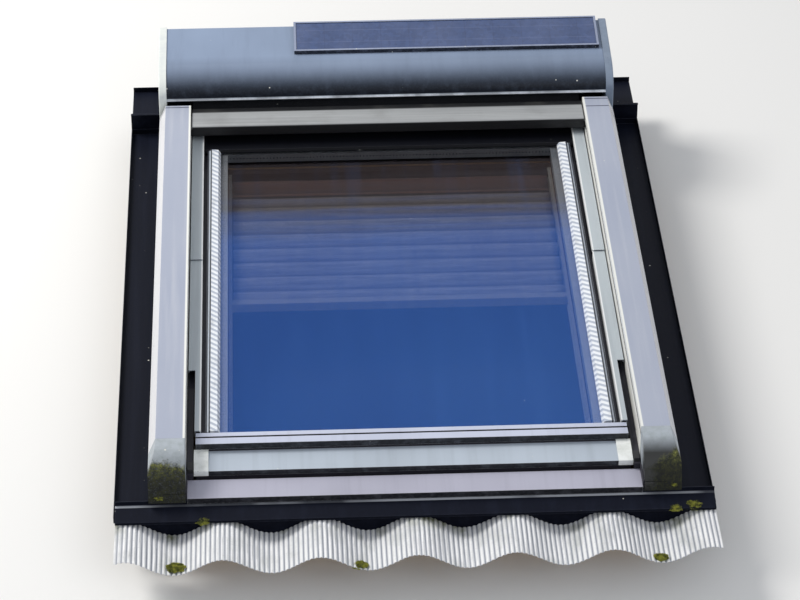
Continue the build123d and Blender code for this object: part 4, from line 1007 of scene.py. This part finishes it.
def lined_bar():
    """Warm grey coat over fine lengthwise lines, with painted shade next to the hood and on steep faces.
    """
    material, tree, shader = new_finish("end_bar_coat")
    low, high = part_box("shutter_end_bar")
    height = axes_of(tree)["Y"]
    drawn = cloud(tree, 620.0, (0.004, 1, 1), 3.0)
    broad = cloud(tree, 40.0, (0.08, 1, 1), 3.0)
    soil = cloud(tree, 16.0, detail=6.0)
    colour = stain(tree, tone(166, 169, 171), drawn, 0.38, 0.68, 0.5, tone(120, 122, 125))
    colour = stain(tree, colour, broad, 0.42, 0.7, 0.3, tone(116, 118, 122))
    strip = spread(tree, height, high.y - bar_shade_strip, high.y - bar_shade_strip + 0.004)
    colour = lay_over(tree, strip, colour, tone(12, 14, 18))
    colour = stain(tree, colour, soil, 0.52, 0.8, 0.3, tone(96, 96, 92))
    # Painted shade on the steep faces.
    colour = lay_over(tree, flat_face_share(tree, 0.75, 0.35), colour, tone(12, 13, 16))
    rounding = rounded_edge(tree, 0.0006)[0]
    surface(tree, shader, colour, spread(tree, drawn, 0.3, 0.7, 0.35, 0.5))
    relief(tree, shader, drawn, 0.0003, rounding)
    return material


dress(lined_bar(), "shutter_end_bar")

# Solar panel and battery
# Thin anodised tray, clipped to the hood, with blue-violet cells under a clear cover.
# It charges the battery pack that drives the shutter's motor.

cell_width = 0.052
cell_line = 0.0006
bus_offset = 0.018
finger_pitch = 0.0026


def solar_cells():
    """Blue-violet silicon with fine silver fingers and two bus lines, under a clear coat."""
    material, tree, shader = new_finish("solar_cell_cover")
    low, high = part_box("solar_cell_plate")
    axes = axes_of(tree)
    across = reckon(tree, "PINGPONG", minus(tree, axes["X"], low.x), cell_width / 2)
    dark_line = spread(tree, across, cell_line * 2, cell_line)
    upward = minus(tree, axes["Y"], (low.y + high.y) / 2)
    bus = spread(tree, gap(tree, reckon(tree, "ABSOLUTE", upward), bus_offset), 0.0011, 0.0007)
    off_finger = reckon(tree, "PINGPONG", axes["X"], finger_pitch / 2)
    flake = random_cells(tree, 130.0)[0]["Blue"]
    dust = cloud(tree, 22.0, (1, 0.6, 1), 6.0)
    colour = lay_over(tree, flake, tone(48, 66, 106), tone(56, 76, 120))
    colour = stain(tree, colour, off_finger, 0.00045, 0.0002, 0.12, tone(96, 112, 154))
    colour = lay_over(tree, times(tree, bus, 0.14), colour, tone(130, 138, 176))
    colour = lay_over(tree, times(tree, dark_line, 0.22), colour, tone(34, 42, 74))
    colour = lay_over(tree, spread(tree, dust, 0.4, 0.8, 0.05, 0.25), colour, tone(118, 128, 160))
    surface(tree, shader, colour, spread(tree, dust, 0.3, 0.8, 0.16, 0.34))
    wire(tree, shader, {"Specular IOR Level": 0.3, "Coat Weight": 0.15})
    return material


dress(solar_cells(), "solar_cell_plate")
# Painted shade: the tray's steep sides are near-black, its flat rim pale.
tray_coat = weathered_coating(
    "anodised_tray", tone(20, 24, 36), tone(150, 160, 186), dust_and_light_share=0.95, specks=0.2, roughness=0.3,
    worn=tone(186, 194, 212),
)
dress(tray_coat, "solar_panel_tray")
dress(moulded_plastic("battery_pack_plastic", tone(58, 62, 70), tone(104, 108, 114)), "battery_pack")

# Moss
# Cushions of green and yellow-green moss, rooted where water stands on the sill, the apron and the caps.
# Each cushion is a lumpy mat with short upright shoots.

moss_cushions = {
    "sill_right_end": (0.432, -0.612, 0.0670, 0.0130),
    "sill_right": (0.404, -0.618, 0.0665, 0.0085),
    "sill_left": (-0.330, -0.618, 0.0660, 0.0095),
    "apron_corner": (-0.372, -0.700, 0.0400, 0.0120),
    "apron_trough": (-0.090, -0.704, 0.0385, 0.0100),
    "apron_right_trough": (0.372, -0.704, 0.0385, 0.0090),
    "cap_foot_left": (-0.398, -0.589, 0.0920, 0.0075),
    "cap_foot_right": (0.402, -0.590, 0.0930, 0.0060),
}
moss_seed = 11
shoots_per_square_metre = 2400000.0
shoot_foot = 0.00045
shoot_height = 0.0024


def moss_tree():
    """Flattened lumpy mat, with pointed shoots on its upper side."""
    group, given = node_group(
        "moss_cushion",
        Vector=("Middle",),
        Float=("Radius",),
        Int=("Seed",),
        Material=("Finish",),
    )
    ball = put(group, "GeometryNodeMeshIcoSphere", {"Radius": given["Radius"], "Subdivisions": 4})
    place = put(group, "GeometryNodeInputPosition", {}).outputs[0]
    lumps = noise(group, reckon_vector(group, "ADD", place, given["Middle"]), 210.0, 3.0)
    swell = spread(group, lumps, 0.3, 0.7, 0.55, 1.2)
    swollen = put(group, "ShaderNodeVectorMath", {0: place, "Scale": swell}, operation="SCALE").outputs[0]
    flat = reckon_vector(group, "MULTIPLY", swollen, (1.25, 0.8, 0.5))
    mat = put(group, "GeometryNodeSetPosition", {"Geometry": ball.outputs["Mesh"], "Position": flat})
    normal = put(group, "GeometryNodeInputNormal", {}).outputs[0]
    upward = axes_of(group, normal)["Z"]
    scatter = put(
        group,
        "GeometryNodeDistributePointsOnFaces",
        {
            "Mesh": mat.outputs[0],
            "Selection": reckon(group, "GREATER_THAN", upward, 0.1),
            "Density": shoots_per_square_metre,
            "Seed": given["Seed"],
        },
    )
    shoot = put(
        group,
        "GeometryNodeMeshCone",
        {"Vertices": 4, "Radius Top": 0.0, "Radius Bottom": shoot_foot, "Depth": shoot_height},
        fill_type="NONE",
    )
    lean = put(
        group,
        "FunctionNodeRandomValue",
        {0: (-0.5, -0.5, -3.1), 1: (0.5, 0.5, 3.1), "Seed": given["Seed"]},
        data_type="FLOAT_VECTOR",
    ).outputs[0]
    turned = put(
        group,
        "FunctionNodeRotateRotation",
        {"Rotation": scatter.outputs["Rotation"], "Rotate By": lean},
        rotation_space="LOCAL",
    ).outputs[0]
    shoots = put(
        group,
        "GeometryNodeInstanceOnPoints",
        {"Points": scatter.outputs["Points"], "Instance": shoot.outputs["Mesh"], "Rotation": turned},
    )
    both = group.nodes.new("GeometryNodeJoinGeometry")
    group.links.new(mat.outputs[0], both.inputs[0])
    group.links.new(shoots.outputs[0], both.inputs[0])
    journey = {"Geometry": both.outputs[0], "Translation": given["Middle"]}
    moved = put(group, "GeometryNodeTransform", journey)
    return handed_out(group, moved.outputs[0], given["Finish"])


def moss_green():
    """Moss in patches of brown-green and yellow-green, with paler and darker flecks."""
    material, tree, shader = new_finish("moss_green")
    hue = cloud(tree, 180.0, detail=3.0)
    fine = cloud(tree, 1200.0, detail=2.0)
    colour = lay_over(tree, spread(tree, hue, 0.38, 0.62), tone(70, 80, 34), tone(166, 168, 66))
    colour = stain(tree, colour, fine, 0.5, 0.75, 0.7, tone(206, 200, 110))
    colour = stain(tree, colour, fine, 0.42, 0.25, 0.8, tone(44, 46, 24))
    surface(tree, shader, colour, 0.95)
    relief(tree, shader, fine, 0.0005)
    return material


moss_finish = moss_green()
moss_group = moss_tree()
for order, (where, (x, y, z, radius)) in enumerate(moss_cushions.items()):
    values = {"Middle": (x, y, z), "Radius": radius, "Seed": moss_seed + order, "Finish": moss_finish}
    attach(grown(f"moss_{where}", moss_group, values), "frame")

# Floor, light and camera
# Pale studio floor under a large soft lamp from the upper left, with a weaker one from the eaves' side.
# The camera stands where a person below the roof would, to the left of the middle.

floor_level = cad_box[0].z - 0.0005
floor_size = 16.0
camera_place = (-0.202, -4.640, 3.144)
camera_target = (0.0, -0.036, 0.080)
camera_lens = 147.0


def studio_floor():
    """Pale matt floor, dim behind the panes like the inside of a room."""
    material, tree, shader = new_finish("studio_floor")
    panes = put(tree, "ShaderNodeLightPath", {}).outputs["Transparent Depth"]
    colour = lay_over(tree, spread(tree, panes, 0.0, 1.0), tone(236, 236, 235), tone(60, 58, 58))
    wire(tree, shader, {"Base Color": colour, "Roughness": 0.9, "Specular IOR Level": 0.1})
    half = floor_size / 2
    corners = [(-half, -half), (half, -half), (half, half), (-half, half)]
    mesh = bpy.data.meshes.new("studio_floor")
    mesh.from_pydata([(x, y, floor_level) for x, y in corners], [], [(0, 1, 2, 3)])
    mesh.materials.append(material)
    floor = placed("studio_floor", mesh)


def aimed(name, content, place):
    """Lamp or camera that stands in its place and looks at the window."""
    thing = placed(name, content)
    thing.location = place
    direction = mathutils.Vector(camera_target) - mathutils.Vector(place)
    thing.rotation_euler = direction.to_track_quat("-Z", "Y").to_euler()
    return thing


def soft_lamp(name, place, size, power, colour):
    """Square area lamp aimed at the window."""
    lamp = bpy.data.lights.new(name, "AREA")
    lamp.size = size
    lamp.energy = power
    lamp.color = colour
    aimed(name, lamp, place)


def studio_air():
    """Even light from all round, and a pale background for the camera and for reflections."""
    world = bpy.data.worlds.new("studio_air")
    bpy.context.scene.world = world
    world.use_nodes = True
    tree = world.node_tree
    light = tree.nodes["Background"]
    wire(tree, light, {"Color": (0.94, 0.96, 1.0, 1.0), "Strength": 0.55})
    pale = put(tree, "ShaderNodeBackground", {"Color": tone(240, 241, 243), "Strength": 1.0})
    path = put(tree, "ShaderNodeLightPath", {}).outputs
    seen = reckon(tree, "MAXIMUM", path["Is Camera Ray"], path["Is Glossy Ray"])
    seen = reckon(tree, "MAXIMUM", seen, path["Is Transmission Ray"])
    both = put(tree, "ShaderNodeMixShader", {0: seen, 1: light.outputs[0], 2: pale.outputs[0]})
    tree.links.new(both.outputs[0], tree.nodes["World Output"].inputs["Surface"])


studio_floor()
studio_air()
soft_lamp("key_lamp", place=(-2.7, 1.3, 3.4), size=1.6, power=150.0, colour=(1.0, 0.97, 0.92))
soft_lamp("eaves_lamp", place=(1.8, -3.6, 2.2), size=2.4, power=26.0, colour=(0.92, 0.95, 1.0))
camera = bpy.data.cameras.new("camera")
camera.lens = camera_lens
bpy.context.scene.camera = aimed("camera", camera, camera_place)
bpy.context.scene.view_settings.view_transform = "Standard"
